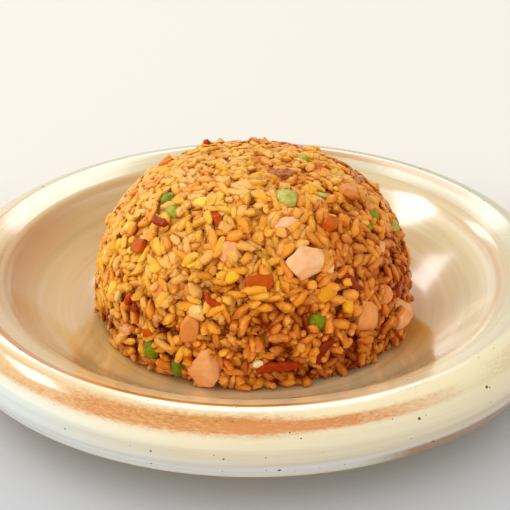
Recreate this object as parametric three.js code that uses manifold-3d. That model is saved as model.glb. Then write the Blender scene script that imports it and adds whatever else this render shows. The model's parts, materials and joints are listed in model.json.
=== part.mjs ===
// Fried rice moulded into a dome, with peas, sweetcorn, carrot, chilli, chicken, pork and egg in it,
// on a round stoneware pasta plate with a rolled, turned-down rim. Millimetres, +Z up. The origin is
// the middle of the foot ring, on the table, and -Y is the plate's front.
import * as THREE from 'three';
import { mergeVertices } from 'three/addons/utils/BufferGeometryUtils.js';
import Module from 'manifold-3d';

const wasm = await Module();
wasm.setup();

// ---------------------------------------------------------------- driving dimensions

const TOUCH_GAP = 0.3;            // left between pieces that touch

const PLATE = {
  sides: 44,
  foot: { outer: 66, inner: 60, height: 3.6, bevel: 0.8 },
  floor: { radius: 68, top: 9 },
  crease: { radius: 106, height: 32.6 },      // soft shoulder between the wall and the lip
  crest: { radius: 117, height: 37.7 },       // where the glaze breaks brown, the highest ring
  roll: { out: 14.7, down: 13.4, tuck: 27 },  // the rim's quarter ellipse, carried on by tuck degrees
  wall: 5,
  edge: 2.3,                                  // half the thickness of the rolled rim's lower edge
};

const RICE = {
  radius: 69,                     // out to the tips of the grains
  height: 69,
  power: 2.6,                     // a superellipse: 2 is a ball, more is fuller at the shoulder
  coreDepth: 3.0,                 // the core lies this far under the grains' tips
  bumpPitch: 4.5,                 // mesh spacing, half a grain
  bumpRise: 2.7,
  bumpShare: 0.42,                // share of the skin's points that stand up as grain bumps
  grains: 42,                     // whole grains that stand proud of the bumps
  grainDepth: 1.8,                // a whole grain's middle lies this far under the tips
  grainLength: 9.5,
  grainWidth: 3.4,
  grainTilt: 26,                  // degrees off the surface, at most
  seed: 41,
};

const FOOD_BASE = PLATE.floor.top + TOUCH_GAP;

const COLOURS = {
  stoneware: 0xe0c395,
  rice: 0xe2973f,
  pea: 0x8f9a2c,
  corn: 0xf8c43a,
  carrot: 0xc85a0c,
  chilli: 0x8e2410,
  chicken: 0xe79a60,
  pork: 0x9a5420,
  egg: 0xf5d79a,
};

// ---------------------------------------------------------------- small helpers

const rad = THREE.MathUtils.degToRad;

function seededRandom(seed) {
  let state = seed;
  return () => {
    state = (state * 48271) % 2147483647;
    return state / 2147483647;
  };
}

// The shape alone: mergeVertices joins points only where all their attributes agree.
function stripped(geometry) {
  const bare = geometry.clone();
  bare.deleteAttribute('normal');
  bare.deleteAttribute('uv');
  return mergeVertices(bare, 1e-4);
}

function toSolid(geometry) {
  const merged = stripped(geometry);
  const mesh = new wasm.Mesh({
    numProp: 3,
    vertProperties: new Float32Array(merged.attributes.position.array),
    triVerts: new Uint32Array(merged.index.array),
  });
  return new wasm.Manifold(mesh);
}

function toGeometry(solid) {
  const { vertProperties, triVerts } = solid.getMesh();
  const geometry = new THREE.BufferGeometry();
  geometry.setAttribute('position', new THREE.BufferAttribute(new Float32Array(vertProperties), 3));
  geometry.setIndex(new THREE.BufferAttribute(new Uint32Array(triVerts), 1));
  return geometry;
}

function movePoints(geometry, rule) {
  const merged = stripped(geometry);
  const position = merged.attributes.position;
  const point = new THREE.Vector3();
  for (let i = 0; i < position.count; i += 1) {
    rule(point.fromBufferAttribute(position, i));
    position.setXYZ(i, point.x, point.y, point.z);
  }
  return merged;
}

function lowest(geometry) {
  geometry.computeBoundingBox();
  return geometry.boundingBox.min.z;
}

function named(name, geometry, colour, roughness) {
  const material = new THREE.MeshStandardMaterial({ color: colour, roughness, metalness: 0 });
  const mesh = new THREE.Mesh(geometry, material);
  mesh.name = name;
  return mesh;
}

// ---------------------------------------------------------------- plate

function ellipseArc(centre, along, up, fromDegrees, toDegrees, steps) {
  const points = [];
  for (let i = 0; i <= steps; i += 1) {
    const turn = rad(fromDegrees + (toDegrees - fromDegrees) * i / steps);
    points.push(new THREE.Vector2(centre.x + along * Math.cos(turn), centre.y + up * Math.sin(turn)));
  }
  return points;
}

// The section, from the middle of the well out over the rim and back in underneath to the foot.
function plateProfile() {
  const { foot, floor, crease, crest, roll, wall, edge } = PLATE;
  const centre = new THREE.Vector2(crest.radius, crest.height - roll.down);
  const creasePoint = new THREE.Vector2(crease.radius, crease.height);
  const insideWall = new THREE.QuadraticBezierCurve(
    new THREE.Vector2(floor.radius, floor.top),
    new THREE.Vector2(floor.radius + 16, floor.top + 2.6),
    creasePoint,
  ).getPoints(4);
  const outside = ellipseArc(centre, roll.out, roll.down, 84, -roll.tuck, 6);
  const lipEnd = outside[outside.length - 1];
  const edgeCentre = new THREE.Vector2(lipEnd.x - edge, lipEnd.y);
  const lowerEdge = ellipseArc(edgeCentre, edge, edge, -45, -180, 2);
  const underRoll = ellipseArc(centre, roll.out - wall, roll.down - wall, 0, 90, 2);
  const underWall = new THREE.QuadraticBezierCurve(
    new THREE.Vector2(crease.radius + 3, crease.height - 4.2),
    new THREE.Vector2(floor.radius + 18, floor.top - 3),
    new THREE.Vector2(floor.radius, foot.height + 0.6),
  ).getPoints(2);
  const footRing = [
    new THREE.Vector2(foot.outer, foot.bevel),
    new THREE.Vector2(foot.outer - foot.bevel, 0),
    new THREE.Vector2(foot.inner, 0),
    new THREE.Vector2(foot.inner - foot.bevel, foot.height),
  ];
  return [
    new THREE.Vector2(0, floor.top),
    ...insideWall,
    new THREE.Vector2(crest.radius - 1.2, crest.height - 0.35),
    ...outside,
    ...lowerEdge,
    ...underRoll,
    ...underWall,
    ...footRing,
    new THREE.Vector2(0, foot.height),
  ];
}

function plateGeometry() {
  return new THREE.LatheGeometry(plateProfile().reverse(), PLATE.sides).rotateX(Math.PI / 2);
}

// ---------------------------------------------------------------- the dome's surface

// How far the surface is from the middle of the dome's base, at an angle above the base.
function domeReach(elevation, depth) {
  const { radius, height, power } = RICE;
  const flat = Math.abs(Math.cos(elevation)) / (radius - depth);
  const tall = Math.abs(Math.sin(elevation)) / (height - depth);
  return (flat ** power + tall ** power) ** (-1 / power);
}

function domePoint(azimuth, elevation, depth) {
  const reach = domeReach(elevation, depth);
  return new THREE.Vector3(
    Math.sin(azimuth) * Math.cos(elevation) * reach,
    -Math.cos(azimuth) * Math.cos(elevation) * reach,
    FOOD_BASE + Math.sin(elevation) * reach,
  );
}

function domeNormal(azimuth, elevation) {
  const { radius, height, power } = RICE;
  const out = Math.cos(elevation) ** (power - 1) / radius ** power;
  const up = Math.sin(elevation) ** (power - 1) / height ** power;
  return new THREE.Vector3(Math.sin(azimuth) * out, -Math.cos(azimuth) * out, up).normalize();
}

// A frame on the surface: x to the right as seen from outside, y up the dome, z straight out,
// then turned about z and tilted about the turned y.
function domeFrame(azimuthDegrees, elevationDegrees, turnDegrees, tiltDegrees, depth) {
  const azimuth = rad(azimuthDegrees);
  const elevation = rad(elevationDegrees);
  const out = domeNormal(azimuth, elevation);
  const right = new THREE.Vector3(Math.cos(azimuth), Math.sin(azimuth), 0);
  const up = new THREE.Vector3().crossVectors(out, right);
  const frame = new THREE.Matrix4().makeBasis(right, up, out);
  frame.multiply(new THREE.Matrix4().makeRotationZ(rad(turnDegrees)));
  frame.multiply(new THREE.Matrix4().makeRotationY(rad(tiltDegrees)));
  frame.setPosition(domePoint(azimuth, elevation, depth));
  return frame;
}

// ---------------------------------------------------------------- toppings
// Each one is [azimuth, elevation, length, width, thickness, turn, tilt]: azimuth in degrees from the
// front towards the right, elevation in degrees above the dome's base, sizes in millimetres.

const TOPPINGS = {
  pea: [
    [-60, 57, 7.5, 7, 6.5, 0, 0],
    [-49, 54, 8, 5, 5, -10, 0],
    [-107, 70, 7, 6.5, 5.5, 30, 0],
    [27, 65, 9.5, 9, 7, 0, 10],
    [112, 71, 6.5, 6, 5.5, 0, 0],
    [71, 45, 8, 6.5, 6, 20, 0],
    [84, 35, 8.5, 7.5, 6.5, 60, 0],
    [-37, 9, 8.5, 7, 7, 75, 0],
    [-26, 5.5, 7.5, 7, 6.5, 0, 0],
    [23, 23, 7.5, 6.5, 6, 40, 0],
    [150, 41, 8.5, 8, 7, 0, 0],
    [-142, 30, 8, 7.5, 6.5, 20, 0],
    [-165, 11, 8, 7.5, 7, 0, 0],
  ],
  corn: [
    [-36, 61, 6.5, 6, 5, 20, 0],
    [-66, 42.5, 6.5, 5.5, 5, 80, 0],
    [-65, 35.5, 6.5, 5.5, 5, 95, 0],
    [-40, 36, 7, 6, 5, 30, 0],
    [-60, 22, 7.5, 5.5, 5, 70, 0],
    [-8, 38, 6, 5, 4.5, 40, 0],
    [27, 31, 9.5, 8, 6, 20, 0],
    [35, 25, 7, 5, 4.5, 80, 0],
    [138, 59, 7.5, 6, 5, 10, 0],
    [-121, 43, 7.5, 6, 5, 65, 0],
    [166, 24, 8, 6.5, 5.5, 35, 0],
  ],
  carrot: [
    [-114, 56, 6.5, 6, 5.5, 20, 0],
    [-53, 39.5, 6, 6, 5.5, 10, 0],
    [2.5, 36.5, 11, 6.5, 6, 5, 0],
    [41, 51, 7.5, 6, 5.5, 35, 10],
    [86, 67, 6, 5, 5, 0, 0],
    [-131, 18, 8, 6.5, 6, 50, 0],
    [176, 67, 6.5, 5.5, 5, 15, 0],
  ],
  chilli: [
    [-146, 59, 8.5, 3.2, 2.4, 85, -38],
    [-48, 48.5, 9, 3, 2.2, 5, 0],
    [-22, 55.5, 11.5, 3.6, 2.4, -38, 0],
    [-14, 31, 8.5, 2.8, 2.2, 150, 0],
    [7, 8.5, 21, 3.4, 2.6, 5, 0],
    [24, 12, 13, 3.4, 2.4, 52, 0],
    [39, 31.5, 11, 3.4, 2.6, 125, 0],
    [172, 41, 13, 3.6, 2.6, 20, 0],
  ],
  chicken: [
    [21, 41, 17, 12, 9, 25, 5],
    [18, 54.5, 10, 7, 6, 10, 0],
    [-15, 9.5, 15.5, 14.5, 10, 35, 0],
    [66, 9.5, 15, 12.5, 10, 60, 12],
    [43, 18, 16, 11, 8, 75, 0],
    [54, 22, 9, 7.5, 6, 30, 0],
    [-22, 19.5, 12, 7, 6.5, 85, 0],
    [73, 56, 11, 9.5, 7, 15, 0],
    [-11, 46, 11, 8, 6, 20, 0],
    [153, 16, 15, 12, 9, 20, 0],
    [-158, 47, 14, 10, 8, 40, 0],
    [113, 26, 14, 11, 8.5, 100, 0],
  ],
  pork: [
    [42, 77, 10, 6, 4.5, -35, 0],
    [6, 75, 9.5, 5.5, 4, 20, 0],
  ],
  egg: [
    [-20, 27, 5.5, 5, 4, 20, 0],
    [-72, 29.5, 9.5, 5.5, 4, 85, 0],
    [128, 43, 9, 6, 4, 30, 0],
  ],
};

const ROUGHNESS = { pea: 0.35, corn: 0.35, carrot: 0.4, chilli: 0.4, chicken: 0.45, pork: 0.5, egg: 0.5 };

// A ball of few sides with dimples, squashed to a pea's shape.
function peaShape(random) {
  return movePoints(new THREE.SphereGeometry(0.5, 7, 5), (point) => {
    point.multiplyScalar(0.96 + 0.08 * random());
  });
}

// A rounded block that narrows at one end, as a kernel does at its tip.
function kernelShape(random) {
  return movePoints(new THREE.BoxGeometry(1, 1, 1, 2, 2, 2), (point) => {
    roundedCorner(point, 0.72);
    point.y *= 0.86 + 0.28 * point.x;
    point.multiplyScalar(0.96 + 0.08 * random());
  });
}

// A cut die with eased corners.
function diceShape(random) {
  return movePoints(new THREE.BoxGeometry(1, 1, 1, 2, 2, 2), (point) => {
    roundedCorner(point, 0.3);
    point.multiplyScalar(0.95 + 0.1 * random());
  });
}

// Pulls a unit cube's points towards the ball that fits inside it.
function roundedCorner(point, share) {
  const ball = point.clone().normalize().multiplyScalar(0.5);
  point.lerp(ball, share);
}

// A torn or cut chunk of cooked meat: a boxy ball with uneven faces.
function chunkShape(random, detail) {
  return movePoints(new THREE.IcosahedronGeometry(0.5, detail), (point) => {
    const boxy = Math.max(Math.abs(point.x), Math.abs(point.y), Math.abs(point.z));
    point.multiplyScalar(0.62 + 0.19 / boxy * (0.92 + 0.16 * random()));
  });
}

// A shred: a flat strip that bends in its own plane and tapers at its ends.
function shredShape(random) {
  const steps = 7;
  const bend = 0.1 + 0.12 * random();
  return movePoints(new THREE.BoxGeometry(1, 1, 1, steps, 1, 1), (point) => {
    const along = point.x * 2;
    point.y = point.y * (1 - 0.55 * along ** 4) + bend * (1 - along ** 2) * 2.2;
    point.z = point.z * (1 - 0.4 * along ** 4) + 0.12 * Math.sin(point.x * 9);
  });
}

const SHAPES = {
  pea: peaShape,
  corn: kernelShape,
  carrot: diceShape,
  chilli: shredShape,
  chicken: (random) => chunkShape(random, 1),
  pork: diceShape,
  egg: kernelShape,
};

const block = () => new THREE.BoxGeometry(1, 1, 1);
const drum = () => new THREE.CylinderGeometry(0.53, 0.53, 1, 8).rotateX(Math.PI / 2);
const PLAIN_POCKET = { pea: drum, corn: block, carrot: block, chicken: block, pork: block, egg: block };

// Stands out of the grains by this share of its thickness.
const PROUD = { pea: 0.12, corn: 0.14, carrot: 0.14, chilli: 0.3, chicken: 0.12, pork: 0.16, egg: 0.16 };

// Turns a unit shape into a piece lying in the dome's surface, lifted clear of the plate if it is low.
function placeTopping(kind, place, random) {
  const [azimuth, elevation, length, width, thickness, turn, tilt] = place;
  const size = new THREE.Vector3(length, width, thickness);
  const depth = thickness * (0.5 - PROUD[kind]);
  const frame = domeFrame(azimuth, elevation, turn, tilt, depth);
  const shape = SHAPES[kind](random);
  const lift = Math.max(0, FOOD_BASE - lowest(fitted(shape, size, frame)));
  frame.premultiply(new THREE.Matrix4().makeTranslation(0, 0, lift));
  return { kind, shape, size, frame, geometry: fitted(shape, size, frame) };
}

function fitted(shape, size, frame) {
  return shape.clone().scale(size.x, size.y, size.z).applyMatrix4(frame);
}

function allToppings() {
  const random = seededRandom(RICE.seed + 7);
  return Object.entries(TOPPINGS).flatMap(([kind, places]) => places.map((place, index) => ({
    name: `${kind}_${String(index + 1).padStart(2, '0')}`,
    ...placeTopping(kind, place, random),
  })));
}

// The pocket that a piece lies in: plain round most kinds, and the shred's own shape round a shred.
function pocketSolid({ kind, shape, size, frame }) {
  const room = size.clone().addScalar(2 * TOUCH_GAP);
  const pocket = PLAIN_POCKET[kind] ? PLAIN_POCKET[kind]() : shape;
  return toSolid(fitted(pocket, room, frame));
}

// ---------------------------------------------------------------- rice

// Rings of points from the dome's foot to its top, evenly spaced along the surface.
function domeRings() {
  const { bumpPitch, coreDepth } = RICE;
  const fine = 400;
  const rings = [];
  let travelled = bumpPitch;
  let before = domePoint(0, 0, coreDepth);
  for (let i = 0; i < fine; i += 1) {
    const elevation = i / fine * Math.PI / 2;
    const here = domePoint(0, elevation, coreDepth);
    travelled += here.distanceTo(before);
    before = here;
    const reach = Math.hypot(here.x, here.y);
    if (travelled >= bumpPitch && reach > bumpPitch * 0.7) {
      rings.push({ elevation, count: Math.max(5, Math.round(2 * Math.PI * reach / bumpPitch)) });
      travelled = 0;
    }
  }
  return rings;
}

// Joins two closed rings of points with different counts by the shorter diagonal each time.
function stitchRings(lower, upper, triangles) {
  let i = 0;
  let j = 0;
  while (i < lower.count || j < upper.count) {
    const a = lower.first + i % lower.count;
    const b = upper.first + j % upper.count;
    const lowerNext = (i + 1) / lower.count;
    const upperNext = (j + 1) / upper.count;
    if (i < lower.count && (lowerNext <= upperNext || j >= upper.count)) {
      triangles.push(a, lower.first + (i + 1) % lower.count, b);
      i += 1;
    } else {
      triangles.push(a, upper.first + (j + 1) % upper.count, b);
      j += 1;
    }
  }
}

// Grain bumps: neighbouring pairs of points stand up together, and the points round them stay low.
function raiseBumps(points, triangles, firstFree, random) {
  const neighbours = points.map(() => new Set());
  for (let i = 0; i < triangles.length; i += 3) {
    for (let k = 0; k < 3; k += 1) {
      const a = triangles[i + k];
      const b = triangles[i + (k + 1) % 3];
      neighbours[a].add(b);
      neighbours[b].add(a);
    }
  }
  const rise = points.map(() => 0);
  const order = points.map((_, index) => index).filter((index) => index >= firstFree);
  const budget = Math.round(points.length * RICE.bumpShare / 2);
  let pairs = 0;
  for (let tries = 0; tries < points.length * 6 && pairs < budget; tries += 1) {
    const a = order[Math.floor(random() * order.length)];
    const around = [...neighbours[a]].filter((index) => index >= firstFree && rise[index] === 0);
    if (rise[a] > 0 || around.length === 0) continue;
    const b = around[Math.floor(random() * around.length)];
    const crowd = [...neighbours[a], ...neighbours[b]].filter((index) => rise[index] > 0).length;
    if (crowd > 2) continue;
    rise[a] = 0.75 + 0.25 * random();
    rise[b] = 0.75 + 0.25 * random();
    pairs += 1;
  }
  return rise;
}

function riceCore() {
  const random = seededRandom(RICE.seed);
  const { coreDepth, bumpRise } = RICE;
  const points = [];
  const normals = [];
  const rings = domeRings().map((ring) => {
    const first = points.length;
    const phase = random();
    for (let i = 0; i < ring.count; i += 1) {
      const azimuth = (i + phase + 0.35 * (random() - 0.5)) / ring.count * 2 * Math.PI;
      points.push(domePoint(azimuth, ring.elevation, coreDepth));
      normals.push(domeNormal(azimuth, ring.elevation));
    }
    return { first, count: ring.count };
  });
  const triangles = [];
  for (let k = 0; k + 1 < rings.length; k += 1) stitchRings(rings[k], rings[k + 1], triangles);
  const top = points.length;
  points.push(domePoint(0, Math.PI / 2, coreDepth));
  normals.push(new THREE.Vector3(0, 0, 1));
  const lastRing = rings[rings.length - 1];
  for (let i = 0; i < lastRing.count; i += 1) {
    triangles.push(lastRing.first + i, lastRing.first + (i + 1) % lastRing.count, top);
  }
  const rise = raiseBumps(points, triangles, rings[1].first, random);
  points.forEach((point, index) => {
    point.addScaledVector(normals[index], bumpRise * (rise[index] - 0.15 * random()));
  });
  points.slice(0, rings[0].count).forEach((point) => point.setZ(FOOD_BASE));
  const foot = points.length;
  points.push(new THREE.Vector3(0, 0, FOOD_BASE));
  for (let i = 0; i < rings[0].count; i += 1) triangles.push((i + 1) % rings[0].count, i, foot);
  const geometry = new THREE.BufferGeometry().setFromPoints(points);
  geometry.setIndex(triangles);
  return geometry;
}

// One cooked grain of few sides, lying along x.
function grainGeometry() {
  const half = RICE.grainLength / 2;
  const wide = RICE.grainWidth / 2;
  const outline = [[0, -half], [0.74 * wide, -0.56 * half], [wide, 0.05 * half], [0.7 * wide, 0.6 * half], [0, half]];
  const geometry = new THREE.LatheGeometry(outline.map(([x, y]) => new THREE.Vector2(x, y)), 4);
  return stripped(geometry).rotateZ(-Math.PI / 2);
}

// Whole grains spread over the dome by the golden angle, each one clear of every topping.
function looseGrains(toppings) {
  const random = seededRandom(RICE.seed + 3);
  const goldenAngle = 180 * (3 - Math.sqrt(5));
  const keepOut = toppings.map(({ frame, size }) => ({
    middle: new THREE.Vector3().setFromMatrixPosition(frame),
    reach: Math.max(size.x, size.y) / 2,
  }));
  const solids = [];
  for (let i = 0; i < RICE.grains; i += 1) {
    const share = (i + 0.5) / RICE.grains;
    const elevation = THREE.MathUtils.radToDeg(Math.asin(0.03 + 0.95 * share ** 1.12));
    for (let tries = 0; tries < 12; tries += 1) {
      const azimuth = i * goldenAngle + 22 * (random() - 0.5) * tries;
      const tilt = RICE.grainTilt * (2 * random() - 1);
      const frame = domeFrame(azimuth, elevation, 360 * random(), tilt, RICE.grainDepth);
      const middle = new THREE.Vector3().setFromMatrixPosition(frame);
      const clear = keepOut.every((piece) => piece.middle.distanceTo(middle) > piece.reach + RICE.grainLength * 0.52);
      if (!clear) continue;
      const size = 0.88 + 0.24 * random();
      const grain = grainGeometry().scale(size, size, size).applyMatrix4(frame);
      if (lowest(grain) < FOOD_BASE) grain.translate(0, 0, FOOD_BASE - lowest(grain));
      solids.push(toSolid(grain));
      break;
    }
  }
  return solids;
}

function riceGeometry(toppings) {
  let rice = toSolid(riceCore());
  for (const topping of toppings) rice = rice.subtract(pocketSolid(topping));
  for (const grain of looseGrains(toppings)) rice = rice.add(grain);
  const scrapsLast = rice.decompose().sort((a, b) => b.volume() - a.volume());
  return toGeometry(scrapsLast[0]);
}

// ---------------------------------------------------------------- the whole dish

const toppings = allToppings();
const dish = new THREE.Group();
dish.add(named('plate', plateGeometry(), COLOURS.stoneware, 0.25));
dish.add(named('rice_heap', riceGeometry(toppings), COLOURS.rice, 0.5));
for (const { name, kind, geometry } of toppings) {
  dish.add(named(name, geometry, COLOURS[kind], ROUGHNESS[kind]));
}

export default dish;
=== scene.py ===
import json
import math

import bmesh
import bpy
import numpy as np
from mathutils import Matrix, Vector, kdtree, noise

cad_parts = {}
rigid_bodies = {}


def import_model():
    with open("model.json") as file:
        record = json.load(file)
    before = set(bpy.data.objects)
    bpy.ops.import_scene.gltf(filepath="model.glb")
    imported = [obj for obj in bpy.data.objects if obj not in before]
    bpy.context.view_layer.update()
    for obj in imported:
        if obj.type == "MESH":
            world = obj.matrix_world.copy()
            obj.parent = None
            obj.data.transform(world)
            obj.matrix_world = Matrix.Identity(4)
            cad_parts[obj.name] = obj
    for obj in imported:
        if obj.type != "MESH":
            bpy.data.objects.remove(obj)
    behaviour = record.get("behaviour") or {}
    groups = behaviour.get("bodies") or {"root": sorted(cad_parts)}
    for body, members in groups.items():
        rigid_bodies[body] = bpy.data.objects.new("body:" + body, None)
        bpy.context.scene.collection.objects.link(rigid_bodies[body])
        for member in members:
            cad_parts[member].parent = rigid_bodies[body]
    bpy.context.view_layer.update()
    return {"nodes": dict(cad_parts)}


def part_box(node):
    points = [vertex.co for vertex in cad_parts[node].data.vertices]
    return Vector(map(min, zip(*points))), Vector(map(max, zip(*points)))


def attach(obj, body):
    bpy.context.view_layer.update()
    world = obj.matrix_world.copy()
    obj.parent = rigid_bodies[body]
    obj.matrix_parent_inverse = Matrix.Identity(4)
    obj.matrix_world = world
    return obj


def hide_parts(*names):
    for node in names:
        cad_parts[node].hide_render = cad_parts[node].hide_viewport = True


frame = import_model()

MM = 0.001

# ---------------------------------------------------------------- sizes

_, plate_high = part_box("plate")
rice_low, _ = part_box("rice_heap")

TOUCH_GAP = 0.3 * MM                 # left between the rice and the plate
PLATE_RADIUS = plate_high.x
PLATE_TOP = plate_high.z
WELL_FLOOR = rice_low.z - TOUCH_GAP

# The section of the plate: radii and heights of the places where its curve changes.
FOOT_OUTER, FOOT_INNER, FOOT_HEIGHT = 66 * MM, 60 * MM, 3.6 * MM
FOOT_BEVEL = 0.8 * MM
FLOOR_RADIUS = 68 * MM
WELL_PULL = (16 * MM, 2.6 * MM)      # out and up from the floor's edge, where the well's curve is drawn to
UNDER_PULL = (18 * MM, -3 * MM)      # the same for the curve of its under side
CREASE_RADIUS, CREASE_HEIGHT = 106 * MM, 32.6 * MM
CREST_RADIUS = 118.3 * MM
ROLL_OUT = PLATE_RADIUS - CREST_RADIUS
ROLL_DOWN = 13.4 * MM
ROLL_TUCK = 27                       # degrees that the rolled rim goes on under its widest place
PLATE_WALL = 5 * MM
RIM_EDGE = 2.3 * MM                  # half the thickness of the rim's lower edge
PLATE_SIDES = 192
WELD = 0.02 * MM                     # corners of the plate that lie this close are joined

# The dome of rice is a superellipse turned about its axis.
RICE_BASE = rice_low.z
RICE_RADIUS = 69 * MM
RICE_HEIGHT = 69 * MM
RICE_POWER = 2.6

# The grains, whole and broken.
GRAIN_LENGTH = 9.0 * MM
GRAIN_WIDTH = 4.0 * MM
GRAIN_THICKNESS = 3.2 * MM
LENGTH_SPREAD, WIDTH_SPREAD = 0.1, 0.42 * MM     # the length's as a share of it
WIDTH_LIMITS = (3.0 * MM, 4.9 * MM)
GRAIN_SIDES, GRAIN_RINGS = 7, 4
GRAIN_COUNT = 5700
BROKEN = {1.0: 0.72, 0.72: 0.19, 0.47: 0.09}     # how much of a grain is left, and the share that are so
UNEVEN, UNEVEN_SIZE = 0.42 * MM, 1.8 * MM        # height and size of the waves in a grain's skin

# How they lie.
LAYER = 9.6 * MM                     # depth of the layer of real grains over the bed
PACKING_ROUNDS = 56
PAIRS_EVERY = 8                      # rounds between two looks at which grains are near each other
SQUEEZE = 0.56                       # share of their size that touching grains keep between their middles
TOPPING_SQUEEZE = 0.75               # the same for a grain that touches a topping
SHOVE = 1.6                          # how far past its share of a push a grain goes
CROWDED = 0.35                       # how much each neighbour more slows a grain down
FLAT, LESS_FLAT = 0.95, 0.75         # how flat grains lie to the skin at first, and the loss in loose rice
SETTLE = 0.04 * MM                   # how far grains press outwards in each round
PROUD = 0.9 * MM                     # how far grains stood past the skin before the bowl pressed them
PRESSED = 0.15 * MM                  # how deep the bowl's wall lies in the skin
PROUD_ENDS, SUNK_ENDS = 1.2 * MM, 3.4 * MM       # how far a loose grain's ends may stand out or sink in
CLUMP = 10 * MM                      # across a clump of grains that stick together
CRACK_CLUMP = CLUMP * 0.8            # across what the cracks part
SLUMP = 5.5 * MM                     # depth of the deepest dents between clumps
CREVICE = 6.5 * MM                   # depth of the cracks between clumps
FINER = 0.45                         # size of the small bumps on a surface to that of the large ones
LAP = 2.0 * MM                       # how high a grain may lie over the edge of a topping
BED_COVER, BED_SUNK = 1.5 * MM, 4.5 * MM         # the bed's depth in firm rice, and how much more in loose
BED_LUMP, BED_LUMP_SIZE = 0.8 * MM, 2.2 * MM     # height and size of the bed's own lumps
BED_ROWS, BED_COLUMNS = 72, 180
SEED = 20
noise.seed_set(SEED)                 # noise_vector would otherwise differ from run to run

# Looseness of the rice: at the foot, its fall up to the top, its gain to the right, its loss towards
# both sides, and the least there is.
LOOSE_FOOT, LOOSE_FALL, LOOSE_RIGHT, LOOSE_SIDES, LEAST_LOOSE = 1.4, 1.2, 0.15, 0.32, 0.15

# Where grains climb on to a topping, as shares of its half size from its middle: the start and length
# of their rise, and the end and length of their fall outside it.
LAP_START, LAP_RISE, LAP_END, LAP_FALL = 0.45, 0.25, 1.5, 0.4

# Gaps that reach down past the grains on top: degrees round from the front, degrees up, and radius.
GAPS = [(3.6, 24.6, 4.4 * MM), (18, 27.3, 2.8 * MM), (-2.1, 64, 2.6 * MM), (56.8, 30.1, 2.8 * MM),
        (-33, 17, 3.2 * MM), (46.1, 47.9, 2.6 * MM), (-50, 23, 2.6 * MM), (30, 4, 3.0 * MM),
        (120, 30, 3.4 * MM), (165, 52, 2.8 * MM), (-125, 34, 3.2 * MM), (-90, 12, 3.0 * MM),
        (178, 14, 3.4 * MM), (-15, 4, 5.0 * MM)]
GAP_DEPTH = 1 * MM                   # how deep the middle of a gap lies


# ---------------------------------------------------------------- small tools

def colour(code):
    """An sRGB hex value as linear RGBA."""
    channels = [int(code[i:i + 2], 16) / 255 for i in (1, 3, 5)]
    return [c / 12.92 if c <= 0.04045 else ((c + 0.055) / 1.055) ** 2.4 for c in channels] + [1.0]


def add(tree, kind, inputs=None, ramp=None, **settings):
    """Adds a node: its properties, its inputs as values or as sockets to link, and its ramp's stops."""
    node = tree.nodes.new(kind)
    for name, value in settings.items():
        setattr(node, name, value)
    for key, value in (inputs or {}).items():
        if isinstance(value, bpy.types.NodeSocket):
            tree.links.new(value, node.inputs[key])
        else:
            node.inputs[key].default_value = value
    if ramp:
        stops = node.color_ramp.elements
        while len(stops) < len(ramp):
            stops.new(0.5)
        for stop, (position, code) in zip(stops, sorted(ramp)):
            stop.position = position
            stop.color = colour(code)
    return node


def material(name, finish):
    """A new material with one Principled shader, and what its finish sets on the shader's own sockets."""
    made = bpy.data.materials.new(name)
    made.use_nodes = True
    shader = made.node_tree.nodes["Principled BSDF"]
    for socket, value in finish.items():
        shader.inputs[socket].default_value = value
    return made, made.node_tree, shader


def link(tree, source, shader, socket):
    tree.links.new(source, shader.inputs[socket])


def mesh_object(name, points, faces, smooth=True):
    mesh = bpy.data.meshes.new(name)
    mesh.from_pydata([tuple(p) for p in points], [], faces)
    mesh.polygons.foreach_set("use_smooth", [smooth] * len(mesh.polygons))
    made = bpy.data.objects.new(name, mesh)
    bpy.context.scene.collection.objects.link(made)
    return made


def vectors(mesh, name):
    """A vector of every vertex, such as its place or its normal, as rows of an array."""
    values = np.empty(len(mesh.vertices) * 3)
    mesh.vertices.foreach_get(name, values)
    return values.reshape(-1, 3)


def baked(source, name):
    """A plain mesh object of what source's modifiers make, at the origin; source is removed."""
    graph = bpy.context.evaluated_depsgraph_get()
    mesh = bpy.data.meshes.new_from_object(source.evaluated_get(graph))
    mesh.name = name
    bpy.data.objects.remove(source)
    made = bpy.data.objects.new(name, mesh)
    bpy.context.scene.collection.objects.link(made)
    return made


def geometry_tree(name, inputs):
    """A Geometry Nodes tree with the named inputs, which are (name, socket type, value)."""
    tree = bpy.data.node_groups.new(name, "GeometryNodeTree")
    tree.interface.new_socket("Geometry", in_out="INPUT", socket_type="NodeSocketGeometry")
    tree.interface.new_socket("Geometry", in_out="OUTPUT", socket_type="NodeSocketGeometry")
    for label, socket_type, value in inputs:
        socket = tree.interface.new_socket(label, in_out="INPUT", socket_type=socket_type)
        if value is not None:
            socket.default_value = value
    return tree, tree.nodes.new("NodeGroupInput"), tree.nodes.new("NodeGroupOutput")


def run_tree(source, tree, values):
    """Puts the tree on an object with its inputs set by their sockets' identifiers."""
    modifier = source.modifiers.new(tree.name, "NODES")
    modifier.node_group = tree
    sockets = {s.name: s.identifier for s in tree.interface.items_tree if s.in_out == "INPUT"}
    for label, value in values.items():
        modifier[sockets[label]] = value


def finished(piece, body, slot, *nodes):
    """Gives a piece its body and hides the nodes that it replaces; slot is not used."""
    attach(piece, body)
    if nodes:
        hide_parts(*nodes)
    return piece


def nodes_named(kind):
    return sorted(name for name in frame["nodes"] if name.startswith(kind + "_"))


# ---------------------------------------------------------------- plate

def arc(middle, out, up, start, end, steps):
    """Points on an ellipse, from one angle in degrees to another."""
    turns = np.radians(np.linspace(start, end, steps))
    return [(middle[0] + out * math.cos(t), middle[1] + up * math.sin(t)) for t in turns]


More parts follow.
